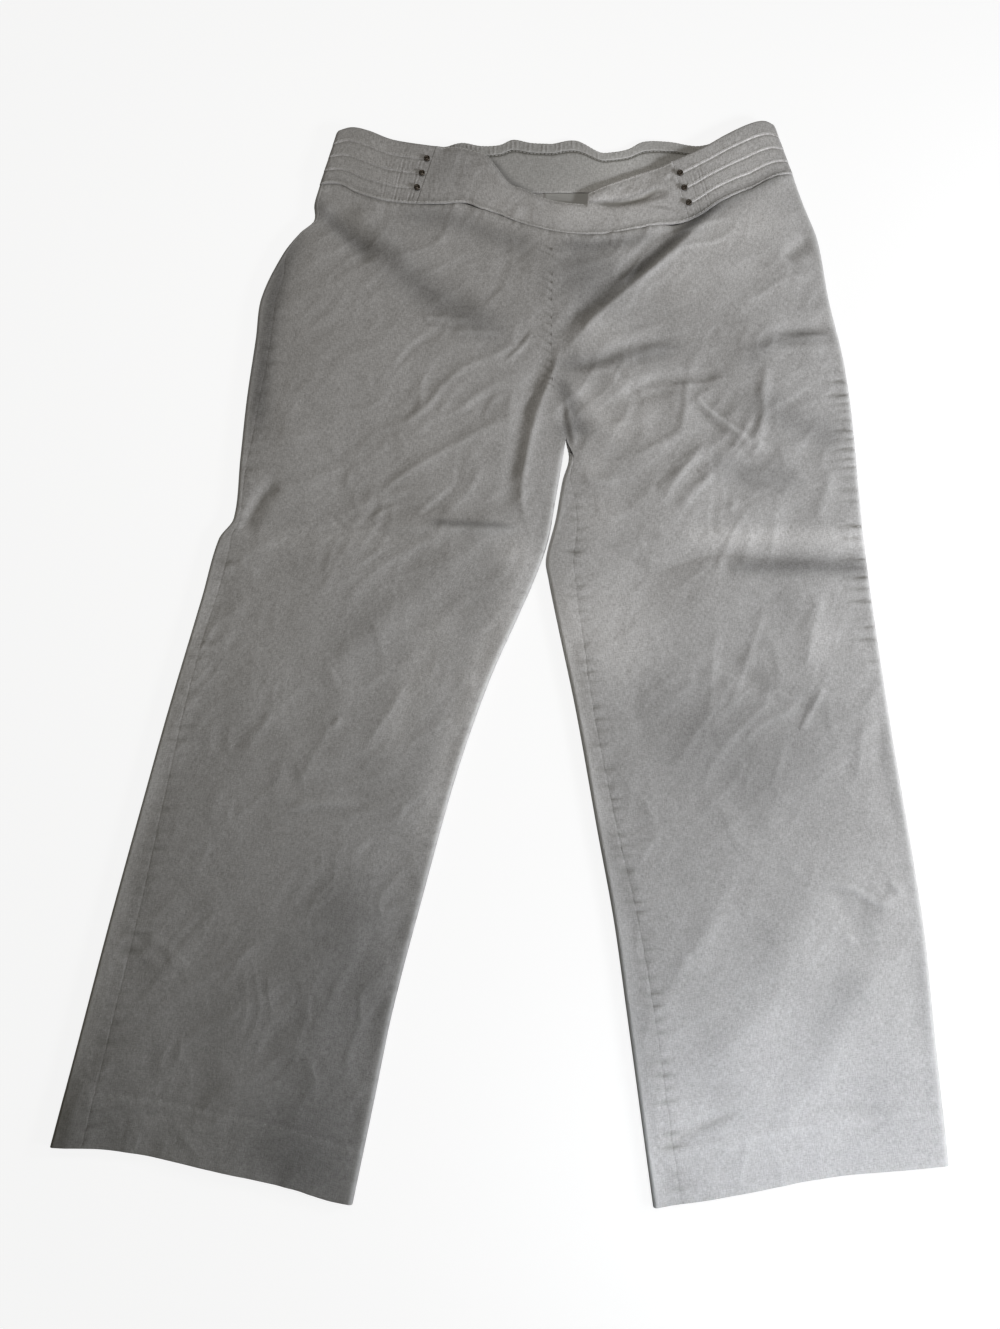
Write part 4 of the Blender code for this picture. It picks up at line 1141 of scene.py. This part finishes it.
def side_band(leg):
    """Tucked side of the waistband, from the rivets round the side fold to the back.

    Its columns walk round the fold from the back layer, then level to the rivets, and
    its rows go straight up the band.
    """
    width = leg.waist_width
    top = 2.0 * BAND_RADIUS
    under = -np.linspace(UNDER_REACH, BAND_QUARTER, UNDER_COLUMNS)
    arc = np.linspace(-BAND_QUARTER, BAND_QUARTER, FOLD_COLUMNS)[1:]
    fold = round_edge(np.concatenate((under, arc)), BAND_RADIUS, BAND_CLOTH)
    end = rivet_station(leg) - SEAM_GAP / 2.0 / width
    count = int((end * width - BAND_RADIUS) / BAND_FINE) // 2 * 2 + 1
    level = np.linspace(BAND_RADIUS / width, end, count + 1)[1:]
    across, across_in = (np.concatenate((inset / width, level)) for inset in fold[0::2])
    height, height_in = (
        np.append(heights, np.full(count, flat))
        for heights, flat in zip(fold[1::2], (top, top - BAND_CLOTH))
    )
    share = tuck_rows()
    outer = side_band_surface(leg, across, share, height)
    inner = band_point(leg, across_in, share, height / top)
    inner = np.dstack((inner, height_in + np.zeros_like(share)))
    rise = share * BAND_HEIGHT
    wear_and_painted_shading = tuck_wear_and_painted_shading(share) + bead_wear_and_painted_shading(rise, across * width)
    if leg.side == "right":
        wear_and_painted_shading = wear_and_painted_shading + mark((end - across) * width, *SIDE_END_DARKENING)
    return [outer, inner], np.dstack(np.broadcast_arrays(across * width, rise)), wear_and_painted_shading


def front_band_height(points, share, to_side):
    """Height of the plain front band: its folds, finer creases and its two sewn edges.

    It eases to the side bands' level at its ends, and its top edge rolls down and back.
    """
    x = points[..., 0]
    y = points[..., 1]
    rise = share * BAND_HEIGHT
    relief = creases(x, y, BAND_FOLDS) + creases(x, y, BAND_CREASES, "stepped")
    for height, size, seed in BAND_HILLS:
        relief = relief + height * hills(x, y, size, seed)
    height, *shape = BAND_RUMPLES
    relief = relief + height * crumple(x, y, *shape) + creases(x, y, BAND_LAPS)
    depth, *shape = BAND_GATHERS
    relief = relief + depth * ripples(to_side, x, *shape)
    relief = relief + mark(BAND_HEIGHT - rise, *BAND_ROLL)
    relief = settled(relief, BAND_LOWEST) * smooth(to_side / JOIN_EASE)
    return 2.0 * BAND_RADIUS + relief + mark(rise, *SEAM_BEAD)


def front_band(legs):
    """Plain centre of the waistband, one wall from rivets to rivets.

    Where its top edge steps down, two more columns lie close together.
    """
    share = row_shares(BAND_HEIGHT, BAND_FINE)
    points = []
    to_side = []
    for leg in legs:
        start = rivet_station(leg) + SEAM_GAP / 2.0 / leg.waist_width
        across = band_columns(leg, start, BAND_FINE)
        if leg.shape["turned_top"] is not None:
            step = (TURNED_SHARE - TURNED_STEP, TURNED_SHARE + TURNED_STEP)
            across = np.sort(np.append(across, step))[::-1]
        points.append(band_point(leg, across, share, 1.0))
        to_side.append((across - start) * leg.waist_width)
    points = np.hstack(points)
    height = front_band_height(points, share, np.concatenate(to_side))
    x = points[..., 0]
    rise = share * BAND_HEIGHT + np.zeros_like(x)
    wear_and_painted_shading = bead_wear_and_painted_shading(rise, x) + mark(BAND_HEIGHT - rise, *BAND_TOP_WEAR)
    # painted shade along the laps' grooves
    wear_and_painted_shading = wear_and_painted_shading + LAP_PAINTED_SHADE * creases(x, points[..., 1], BAND_LAPS)
    return layers(points, height, height - BAND_CLOTH), np.dstack((x, rise)), wear_and_painted_shading


def layers(points, *heights):
    """Faces of a wall over these points in plan, each at its own height."""
    shape = points.shape[:2]
    return [np.dstack((points, np.broadcast_to(height, shape))) for height in heights]


def back_strip(legs, share, spacing):
    """Plan of a level strip of the back waistband, and the distance along it."""
    points = []
    for leg in legs:
        start = (UNDER_REACH - BAND_QUARTER + BAND_RADIUS + SEAM_GAP) / leg.waist_width
        points.append(band_point(leg, band_columns(leg, start, spacing), share, 0.0))
    points = np.hstack(points)
    along, _ = travel(points[0])
    return points, along + np.zeros(points.shape[:2])


def back_band(legs):
    """Back waistband, its inner face up: level, with ripples that run down from the elastic.

    Its height is the ripples, faded towards the seam, plus soft hills, less a groove
    under the casing.
    """
    share = row_shares(BAND_HEIGHT, BAND_FINE)
    points, along = back_strip(legs, share, BAND_FINE)
    rise = share * BAND_HEIGHT + np.zeros_like(along)
    casing = CASING_SHARES[0] * BAND_HEIGHT
    height, *shape = BACK_GATHERS
    gathers = height * ripples(np.abs(casing - rise), along, *shape) * smooth(rise / BACK_FADE)
    height, *shape = BACK_HILLS
    lift = gathers + height * smooth(1.0 + hills(along, rise, *shape))
    depth, reach, below = UNDER_CASING
    under = bell(rise - casing + below, reach)
    upper = BAND_CLOTH + np.minimum(lift, BACK_MOST) - depth * under
    # paler along the rubbed top edge, painted shade in the groove under the casing
    wear_and_painted_shading = mark(BAND_HEIGHT - rise, *BACK_TOP_WEAR) - UNDER_CASING_PAINTED_SHADE * under
    return layers(points, upper, 0.0), np.dstack((along, rise)), wear_and_painted_shading


def casing_band(legs):
    """Gathered strip over the elastic: a rounded ridge with fine ripples across it.

    With t from 0 to 1 up the strip, its dome is 4 t (1 - t), to a power below 1.
    """
    low, high = CASING_SHARES
    width = (high - low) * BAND_HEIGHT
    share = (low + stations(width, CASING_FINE[0]) / BAND_HEIGHT)[:, None]
    points, along = back_strip(legs, share, CASING_FINE[1])
    t = (share - low) / (high - low)
    dome = (4.0 * t * (1.0 - t)) ** CASING_ROUND
    wave = ripples(np.zeros_like(along), along, *CASING_GATHERS)
    start, fade = CASING_SMOOTH
    wave = wave * (1.0 - CASING_EVEN * smooth((points[..., 0] - start) / fade))
    bottom = BAND_CLOTH + SEAM_GAP
    lift = CASING_CLOTH * (0.5 + 0.5 * dome) + CASING_HEIGHT * (2.0 * wave - 1.0) * dome
    grain = np.dstack((along, t * width + np.zeros_like(along)))
    upper, lower = CASING_EDGES
    edges = mark((1.0 - t) * width, *upper) + mark(t * width, *lower)
    # paler along its edges, partly rubbed and partly a painted highlight, and painted light and shade
    # on its gathers
    wear_and_painted_shading = CASING_WEAR_AND_PAINTED_SHADING[0] * edges + CASING_WEAR_AND_PAINTED_SHADING[1] * (wave - CASING_WEAR_AND_PAINTED_SHADING[2]) * dome
    return layers(points, bottom + lift, bottom), grain, wear_and_painted_shading


def label_tape():
    """Bare woven tab, whose ends are turned under.

    It is level, plus soft hills and an eased rise over the last millimetres at each end.
    """
    length, width, thick = LABEL_SIZE
    u = stations(length, LABEL_FINE)[None, :]
    v = stations(width, LABEL_FINE)[:, None]
    corner = (LABEL_CENTRE[0] - length / 2.0, LABEL_CENTRE[1] - width / 2.0)
    x, y = np.broadcast_arrays(corner[0] + u, corner[1] + v)
    rise, reach = LABEL_TURN
    turned = rise * smooth(1.0 - np.minimum(u, length - u) / reach) + np.zeros_like(x)
    wave, *shape = LABEL_WAVE
    bottom = CLOTH + SEAM_GAP
    height = bottom + thick + turned + wave * hills(x, y, *shape)
    points = np.dstack((x, y))
    return layers(points, height, bottom), points, LABEL_WEAR * turned


# ---- Meshes ----
def round_rim(outer, inner, ends):
    """Bring both faces together towards the rim of a wall, as a quarter circle.

    Without its ends, only the first and last rows are rounded.
    Over the close steps at an edge, with d the distance from it and r the last step,
    each face moves a share of the thickness times 1 - sqrt(1 - (1 - d / r)^2).
    """
    rows, columns = outer.shape[:2]
    row = np.arange(rows)[:, None]
    column = np.arange(columns)[None, :]
    steps = np.minimum(row, rows - 1 - row) + 0 * column
    if ends:
        steps = np.minimum(steps, np.minimum(column, columns - 1 - column))
    near = 1.0 - BORDER[np.minimum(steps, len(BORDER) - 1)] / BORDER[-1]
    pinch = (RIM_PINCH * (1.0 - np.sqrt(1.0 - near**2)))[..., None]
    across = inner - outer
    return outer + pinch * across, inner - pinch * across


def quads(grid):
    """Faces between the neighbouring points of a grid."""
    cells = (grid[:-1, :-1], grid[1:, :-1], grid[1:, 1:], grid[:-1, 1:])
    return np.stack(cells, axis=-1).reshape(-1, 4)


def closed_rings(count, sides):
    """Point numbers of rings, each closed by its first point."""
    rings = np.arange(count * sides).reshape(count, sides)
    return np.hstack((rings, rings[:, :1]))


def loop_round(grid):
    """The grid's border, once round."""
    return np.concatenate((grid[0, :], grid[1:, -1], grid[-1, -2::-1], grid[-2:0:-1, 0]))


def new_mesh(name, points, faces):
    mesh = bpy.data.meshes.new(name)
    mesh.from_pydata(points.tolist(), [], faces)
    mesh.shade_smooth()
    return mesh


def new_object(name, data, place=(0.0, 0.0, 0.0)):
    thing = bpy.data.objects.new(name, data)
    thing.location = place
    bpy.context.scene.collection.objects.link(thing)
    return thing


def add_piece(name, mesh, material, node=None):
    """Piece of the garment, in its material. It takes the place of a node, if one is given."""
    mesh.materials.append(material)
    piece = new_object(name, mesh)
    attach(piece, "root")
    if node:
        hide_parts(node)
    return piece


def add_wall(node, surface, material, kind="cloth", ends=False):
    """Closed wall of cloth from a grid of outer points and every second inner point.

    The surface has both faces, the cloth's own coordinates, and its rubbing and painted
    shading: above 0 where it is paler, from rubbing and painted highlights, and below 0 where
    it is deeper, mostly painted shade in grooves, puckers and laps. Its painted shade is how
    much paler, above 0, or deeper the cloth is painted from place to place, for light and shadow.
    """
    faces, grain, wear_and_painted_shading = surface
    outer, inner = round_rim(*faces, ends)
    inner = inner[::2, ::2]
    rows, columns = outer.shape[:2]
    fine = np.arange(rows * columns).reshape(rows, columns)
    coarse = rows * columns + np.arange(inner[..., 0].size).reshape(inner.shape[:2])
    rim = loop_round(fine)
    turn = loop_round(coarse)
    ahead = np.roll(turn, -1)
    edge = np.stack((rim[0::2], rim[1::2], np.roll(rim, -2)[0::2], ahead, turn), axis=-1)
    skins = [quads(fine), quads(coarse)[:, ::-1], edge]
    middle = (rows // 2, columns // 2)
    down = outer[middle[0] + 1, middle[1]] - outer[middle]
    right = outer[middle[0], middle[1] + 1] - outer[middle]
    outwards = outer[middle] - faces[1][middle]
    if np.cross(down, right) @ outwards < 0.0:
        skins = [skin[:, ::-1] for skin in skins]
    points = np.concatenate((outer.reshape(-1, 3), inner.reshape(-1, 3))) * MM
    name = f"{node}_{kind}"
    mesh = new_mesh(name, points, [face for skin in skins for face in skin.tolist()])
    cloth = np.concatenate((grain.reshape(-1, 2), grain[::2, ::2].reshape(-1, 2))) * MM
    corners = np.empty(len(mesh.loops), dtype=np.int32)
    mesh.loops.foreach_get("vertex_index", corners)
    layer = mesh.uv_layers.new(name="cloth")
    layer.data.foreach_set("uv", cloth[corners].astype(np.float32).ravel())
    # rubbing, painted highlights and painted shade of the outer points; none on the inner ones
    rubbed = np.concatenate((wear_and_painted_shading.ravel(), np.zeros(len(points) - wear_and_painted_shading.size)))
    # painted light and shade of every point, by its place in plan: deeper where shade falls, paler
    # where light falls
    x, y = points[:, 0] / MM, points[:, 1] / MM
    painted_shade = creases(x, y, PAINTED_SHADE_LINES) + spots(x, y, PAINTED_SHADE_PATCHES)
    for key, values in (("wear_and_painted_shading", rubbed), ("painted_shade", painted_shade)):
        attribute = mesh.attributes.new(key, "FLOAT", "POINT")
        attribute.data.foreach_set("value", values.astype(np.float32))
    piece = add_piece(name, mesh, material, node)


def stitch_template():
    """One stitch of unit length along X: a bead whose radius is sqrt(1 - (2x)^4)."""
    x = np.array((-0.5, -0.44, -0.25, 0.25, 0.44, 0.5))
    radius = np.sqrt(np.maximum(1.0 - (2.0 * x) ** 4, STITCH_TIP))
    angle = np.arange(STITCH_SIDES) * 2.0 * math.pi / STITCH_SIDES
    y = radius[:, None] * np.cos(angle)
    z = radius[:, None] * np.sin(angle)
    points = np.dstack((np.broadcast_to(x[:, None], y.shape), y, z)).reshape(-1, 3)
    closed = closed_rings(len(x), STITCH_SIDES)
    return points, quads(closed), closed[0, :-1], closed[-1, -2::-1]


def at_distances(line, travelled, at):
    """Points of a line at these distances along it."""
    return np.column_stack([np.interp(at, travelled, line[:, axis]) for axis in range(3)])


def add_stitches(name, lines, material, slot, spacing=STITCH_SPACING, length=STITCH_LENGTH):
    """Rows of stitches. Each line has points on the cloth, and points just beside them.

    A stitch lies along the line, half sunk into the cloth. Its up direction is square to
    the line and to the way to the points beside it.
    """
    template, sides, first, last = stitch_template()
    frames = []
    for rows in lines:
        line, beside = (row.reshape(-1, 3) for row in rows)
        travelled, _ = travel(line)
        count = int(travelled[-1] / spacing)
        at = (np.arange(count) + 0.5) * travelled[-1] / count
        place = at_distances(line, travelled, at)
        side = at_distances(beside, travelled, at) - place
        back = at_distances(line, travelled, at - length / 2.0)
        along = at_distances(line, travelled, at + length / 2.0) - back
        along = along / np.linalg.norm(along, axis=1)[:, None]
        up = np.cross(along, side)
        up = up / np.linalg.norm(up, axis=1)[:, None]
        up = up * np.where(up[:, 2:] < 0.0, -1.0, 1.0)
        frames.append((place, along, up))
    centre, along, up = (np.concatenate(parts)[:, None, :] for parts in zip(*frames))
    wide = np.cross(up, along)
    points = (
        centre
        + along * template[None, :, 0:1] * length
        + wide * template[None, :, 1:2] * THREAD_RADIUS
        + up * (template[None, :, 2:3] + STITCH_LIFT) * THREAD_RADIUS
    )
    offset = (np.arange(len(centre)) * len(template))[:, None, None]
    faces = (sides[None] + offset).reshape(-1, 4).tolist()
    caps = np.stack((first, last))[None] + offset
    faces += caps.reshape(-1, STITCH_SIDES).tolist()
    add_piece(name, new_mesh(name, points.reshape(-1, 3) * MM, faces), material)


def add_rivet(node, material):
    """Turned stud on a rivet's own place: a raised ring round a shallow dish.

    Each point of the profile, at radius r, goes once round its centre: r cos a, r sin a.
    """
    low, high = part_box(node)
    profile = np.array(RIVET_PROFILE)
    angle = np.arange(RIVET_SIDES) * 2.0 * math.pi / RIVET_SIDES
    radius = profile[:, :1] * RIVET_RADIUS * MM
    height = low.z + profile[:, 1:] * (high.z - low.z)
    x = (low.x + high.x) / 2.0 + radius * np.cos(angle)
    y = (low.y + high.y) / 2.0 + radius * np.sin(angle)
    points = np.dstack((x, y, np.broadcast_to(height, x.shape)))
    ends = np.array((points[0].mean(axis=0), points[-1].mean(axis=0)))
    points = np.concatenate((points[1:-1].reshape(-1, 3), ends))
    closed = closed_rings(len(profile) - 2, RIVET_SIDES)
    faces = quads(closed).tolist()
    top, bottom = len(points) - 2, len(points) - 1
    for number in range(RIVET_SIDES):
        faces.append((closed[0, number], closed[0, number + 1], top))
        faces.append((closed[-1, number + 1], closed[-1, number], bottom))
    name = node + "_stud"
    add_piece(name, new_mesh(name, points, faces), material, node)


# ---- Materials ----
class Value:
    """A shader socket that takes part in Python expressions."""

    def __init__(self, tree, socket):
        self.tree = tree
        self.socket = socket

    def maths(self, operation, *values):
        inputs = dict(enumerate(values))
        return new_node(self.tree, "ShaderNodeMath", {"operation": operation}, inputs)

    def __add__(self, other):
        return self.maths("ADD", self, other)

    __radd__ = __add__

    def __sub__(self, other):
        return self.maths("SUBTRACT", self, other)

    def __rsub__(self, other):
        return self.maths("SUBTRACT", other, self)

    def __mul__(self, other):
        return self.maths("MULTIPLY", self, other)

    __rmul__ = __mul__

    def sine(self):
        return self.maths("SINE", self)

    def clamped(self):
        return new_node(self.tree, "ShaderNodeClamp", {}, {"Value": self})


def plug(tree, slot, value):
    """Link a value to a socket, or set the socket to a number or colour."""
    if isinstance(value, Value):
        tree.links.new(value.socket, slot)
    else:
        slot.default_value = value


def new_node(tree, kind, settings, inputs, output=0):
    """A node of this type, with its settings made first and then its sockets."""
    node = tree.nodes.new(kind)
    for key, setting in settings.items():
        setattr(node, key, setting)
    for key, value in inputs.items():
        plug(tree, node.inputs[key], value)
    return Value(tree, node.outputs[output])


class Finish:
    """A material under construction."""

    def __init__(self, name):
        self.material = bpy.data.materials.new(name)
        self.material.use_nodes = True
        self.tree = self.material.node_tree

    def place(self):
        return new_node(self.tree, "ShaderNodeTexCoord", {}, {}, "Object")

    def cloth(self):
        return new_node(self.tree, "ShaderNodeUVMap", {"uv_map": "cloth"}, {})

    def attribute(self, name):
        """A number that the mesh keeps at its points."""
        return new_node(self.tree, "ShaderNodeAttribute", {"attribute_name": name}, {}, "Fac")

    def scaled(self, vector, x, y):
        """The vector with its first two parts multiplied."""
        inputs = {0: vector, 1: (x, y, 1.0)}
        return new_node(self.tree, "ShaderNodeVectorMath", {"operation": "MULTIPLY"}, inputs)

    def brightened(self, colour, factor):
        """The colour times a factor."""
        inputs = {0: colour, "Scale": factor}
        return new_node(self.tree, "ShaderNodeVectorMath", {"operation": "SCALE"}, inputs)

    def parts(self, vector):
        """The first and the second part of a vector."""
        first = new_node(self.tree, "ShaderNodeSeparateXYZ", {}, {"Vector": vector})
        return first, Value(self.tree, first.socket.node.outputs["Y"])

    def noise(self, vector, size, detail, roughness):
        """Noise from 0 to 1 whose patches are about this size, in metres."""
        inputs = {"Vector": vector, "Scale": 1.0 / size, "Detail": detail, "Roughness": roughness}
        return new_node(self.tree, "ShaderNodeTexNoise", {}, inputs)

    def blend(self, low, high, factor):
        """Colour from low to high by a factor."""
        settings = {"data_type": "RGBA", "clamp_factor": True}
        inputs = {"Factor": factor, "A": low, "B": high}
        return new_node(self.tree, "ShaderNodeMix", settings, inputs, 2)

    def bump(self, height, distance, strength, below=None):
        inputs = {"Height": height, "Distance": distance, "Strength": strength}
        if below:
            inputs["Normal"] = below
        return new_node(self.tree, "ShaderNodeBump", {}, inputs)

    def done(self, **values):
        shader = self.tree.nodes["Principled BSDF"]
        for key, value in values.items():
            plug(self.tree, shader.inputs[key.replace("_", " ")], value)
        return self.material


def twill(name):
    """Fine stretch twill: slanted ribs, slubby yarns and soft mottling."""
    dark, light, pale, dull = COLOURS[name]
    finish = Finish(name)
    cloth = finish.cloth()
    u, v = finish.parts(cloth)
    yarns = finish.noise(finish.scaled(cloth, 1.0, 0.2), YARN, 2.0, 0.6)
    picks = finish.noise(finish.scaled(cloth, 0.25, 1.0), YARN, 2.0, 0.6)
    grain, mottle, cloud = (finish.noise(finish.place(), *row) for row in TWILL_PATCHES)
    slant = ((u * RIB_SLANT[0] + v * RIB_SLANT[1]) * (2.0 * math.pi / WALE)).sine()
    fine = (yarns - 0.5) * 2.1 + (picks - 0.5) * 1.9 + (grain - 0.5) * 0.9 + (mottle - 0.5) * 0.5
    tone = 0.5 + fine * (1.0 + v * EVENNESS) + (cloud - 0.5) * 0.3 + slant * 0.03
    colour = finish.blend(dark, light, tone.clamped())
    # Towards the pale colour where the cloth is rubbed and where light is painted, towards the deep
    # colour where shade is painted, then scaled by the painted light and shade
    wear_and_painted_shading = finish.attribute("wear_and_painted_shading")
    colour = finish.blend(colour, pale, (wear_and_painted_shading * WEAR_AND_SHADING_SHARE).clamped())
    colour = finish.blend(colour, dull, (wear_and_painted_shading * -WEAR_AND_SHADING_SHARE).clamped())
    colour = finish.brightened(colour, finish.attribute("painted_shade") + 1.0)
    ribs = slant * 0.5 + yarns * 0.8 + picks * 0.6
    weave = finish.bump(ribs, 0.00006, 0.6)
    return finish.done(
        Base_Color=colour,
        Roughness=0.86 + (grain - 0.5) * 0.12,
        Sheen_Weight=0.12,
        Sheen_Roughness=0.5,
        Specular_IOR_Level=0.25,
        Normal=finish.bump(grain * 0.6 + mottle, 0.0006, 0.35, weave),
    )


def tape(name):
    """Plain woven tape with fine cross ribs."""
    finish = Finish(name)
    cloth = finish.cloth()
    u, v = finish.parts(cloth)
    warp = (u * (2.0 * math.pi / TAPE_WARP)).sine()
    ribs = (v * (2.0 * math.pi / TAPE_RIB)).sine()
    fleck = finish.noise(cloth, 0.0012, 3.0, 0.6)
    tone = fleck + ribs * 0.08 + warp * 0.05
    return finish.done(
        Base_Color=finish.blend(*COLOURS[name], tone.clamped()),
        Roughness=0.7 + fleck * 0.15,
        Normal=finish.bump(ribs + warp * 0.6 + fleck, 0.00005, 0.6),
    )


def thread(name):
    """Spun polyester thread with a twist too fine to see but for its shimmer."""
    finish = Finish(name)
    fleck = finish.noise(finish.place(), 0.0009, 2.0, 0.6)
    return finish.done(
        Base_Color=finish.blend(*COLOURS[name], fleck),
        Roughness=0.62 + fleck * 0.12,
        Normal=finish.bump(fleck, 0.00008, 0.5),
    )


def metal(name):
    """Dark burnished metal, rubbed lighter in patches."""
    finish = Finish(name)
    # Noise of the studs' own rubbed patches: the metal is rubbed lighter where it is high.
    wear_and_painted_shading = finish.noise(finish.place(), 0.0011, 4.0, 0.65)
    rubbed = ((wear_and_painted_shading - 0.52) * 4.0).clamped()
    return finish.done(
        Base_Color=finish.blend(*COLOURS[name], rubbed),
        Metallic=0.55,
        Roughness=0.34 + rubbed * 0.15,
        Normal=finish.bump(wear_and_painted_shading, 0.00008, 0.3),
    )


# ---- Camera, light and floor ----
def add_camera():
    data = bpy.data.cameras.new("camera")
    data.lens = CAMERA_LENS
    data.sensor_width = CAMERA_SENSOR
    data.clip_start = 0.01
    data.clip_end = 100.0
    camera = new_object("camera", data, CAMERA_PLACE)
    camera.rotation_euler = (CAMERA_TILT, 0.0, 0.0)
    bpy.context.scene.camera = camera


def add_lamps():
    for name, (place, power, radius, colour) in LAMPS.items():
        data = bpy.data.lights.new(name, "POINT")
        data.energy = power
        data.shadow_soft_size = radius
        data.color = colour
        new_object(name, data, place)


def add_world():
    """Weak even light, in front of a pale backdrop."""
    world = bpy.data.worlds.new("studio")
    world.use_nodes = True
    bpy.context.scene.world = world
    tree = world.node_tree
    ambient = tree.nodes["Background"]
    ambient.inputs["Color"].default_value = AMBIENT
    light = Value(tree, ambient.outputs[0])
    backdrop = new_node(tree, "ShaderNodeBackground", {}, {"Color": BACKDROP})
    seen = new_node(tree, "ShaderNodeLightPath", {}, {}, "Is Camera Ray")
    inputs = {"Fac": seen, 1: light, 2: backdrop}
    mixed = new_node(tree, "ShaderNodeMixShader", {}, inputs)
    plug(tree, tree.nodes["World Output"].inputs["Surface"], mixed)


def add_floor():
    """Plain white floor, lit from within so that it stays pale where the lamps are weak."""
    half = FLOOR_SIZE / 2.0
    corners = [(-half, -half), (half, -half), (half, half), (-half, half)]
    mesh = bpy.data.meshes.new("floor")
    mesh.from_pydata([(x, y, -FLOOR_DROP) for x, y in corners], [], [(0, 1, 2, 3)])
    mesh.materials.append(Finish("floor_white").done(
        Base_Color=FLOOR_GREY,
        Roughness=1.0,
        Specular_IOR_Level=0.0,
        Emission_Color=(1.0, 1.0, 1.0, 1.0),
        Emission_Strength=FLOOR_GLOW,
    ))
    floor = new_object("floor", mesh)
    floor.visible_diffuse = False
    floor.visible_glossy = False


# ---- Assembly ----
def band_stitch_lines(legs):
    """Rows of stitches along the waistband's seams and tucks."""
    lines = []
    inset = STITCH_INSET / BAND_HEIGHT
    for leg in legs:
        end = rivet_station(leg)
        across = np.linspace(BAND_RADIUS / leg.waist_width, end, BAND_SAMPLES)[None, :]
        level = np.full(across.shape, 2.0 * BAND_RADIUS)
        for lower in (0.0, *TUCK_EDGES):
            share = np.full(across.shape, lower + inset)
            rows = (share, share + inset)
            lines.append([side_band_surface(leg, across, row, level) for row in rows])
        across = np.linspace(end, 1.0, BAND_SAMPLES)[None, :]
        to_side = (across - end) * leg.waist_width
        for share in (inset, 1.0 - inset):
            line = []
            for up in (share, share + inset / 2.0):
                row = np.full(across.shape, up)
                plan = band_point(leg, across, row, 1.0)
                line.append(np.dstack((plan, front_band_height(plan, row, to_side))))
            lines.append(line)
    return lines


def casing_stitch_lines(legs):
    """Two rows along the edges of the casing over the elastic."""
    lines = []
    spacing, lift = CASING_STITCHES
    for share in CASING_ROWS:
        line = []
        for row in (share, share - CASING_ASIDE):
            points, _ = back_strip(legs, np.full((1, 1), row), spacing)
            line.extend(layers(points, BAND_CLOTH + lift))
        lines.append(line)
    return lines


def hem_stitch_lines(legs):
    """Short picks of the blind stitch along the top of each hem."""
    across = np.linspace(*HEM_SPAN, HEM_SAMPLES)[None, :]
    down = np.full(across.shape, HEM_TOP)
    return [[leg.front_point(across, row) for row in (down, down + HEM_ASIDE)] for leg in legs]


def main():
    add_camera()
    legs = (Leg("right"), Leg("left"))
    stone = twill("stone_twill")
    facing = twill("facing_twill")
    label = tape("label_tape")
    sewing = thread("stone_thread")
    hemming = thread("hem_thread")
    studs = metal("burnished_metal")

    for leg in legs:
        back = "back_leg_" + leg.side
        add_wall(back, leg.back_panel(), stone)
        add_wall("front_leg_" + leg.side, leg.front_panel(), stone)
        add_wall("side_band_" + leg.side, side_band(leg), stone)
    add_wall("waistband_front", front_band(legs), stone)
    add_wall("waistband_back", back_band(legs), facing)
    add_wall("elastic_casing", casing_band(legs), facing)
    add_wall("label", label_tape(), label, "tape", ends=True)

    add_stitches("waistband_stitches", band_stitch_lines(legs), sewing, "twill")
    add_stitches("casing_stitches", casing_stitch_lines(legs), sewing, "facing")
    add_stitches("hem_stitches", hem_stitch_lines(legs), hemming, "twill", *HEM_PICKS)
    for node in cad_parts:
        if node.startswith("rivet_"):
            add_rivet(node, studs)

    add_lamps()
    add_world()
    add_floor()
    bpy.context.scene.view_settings.view_transform = "Standard"


main()
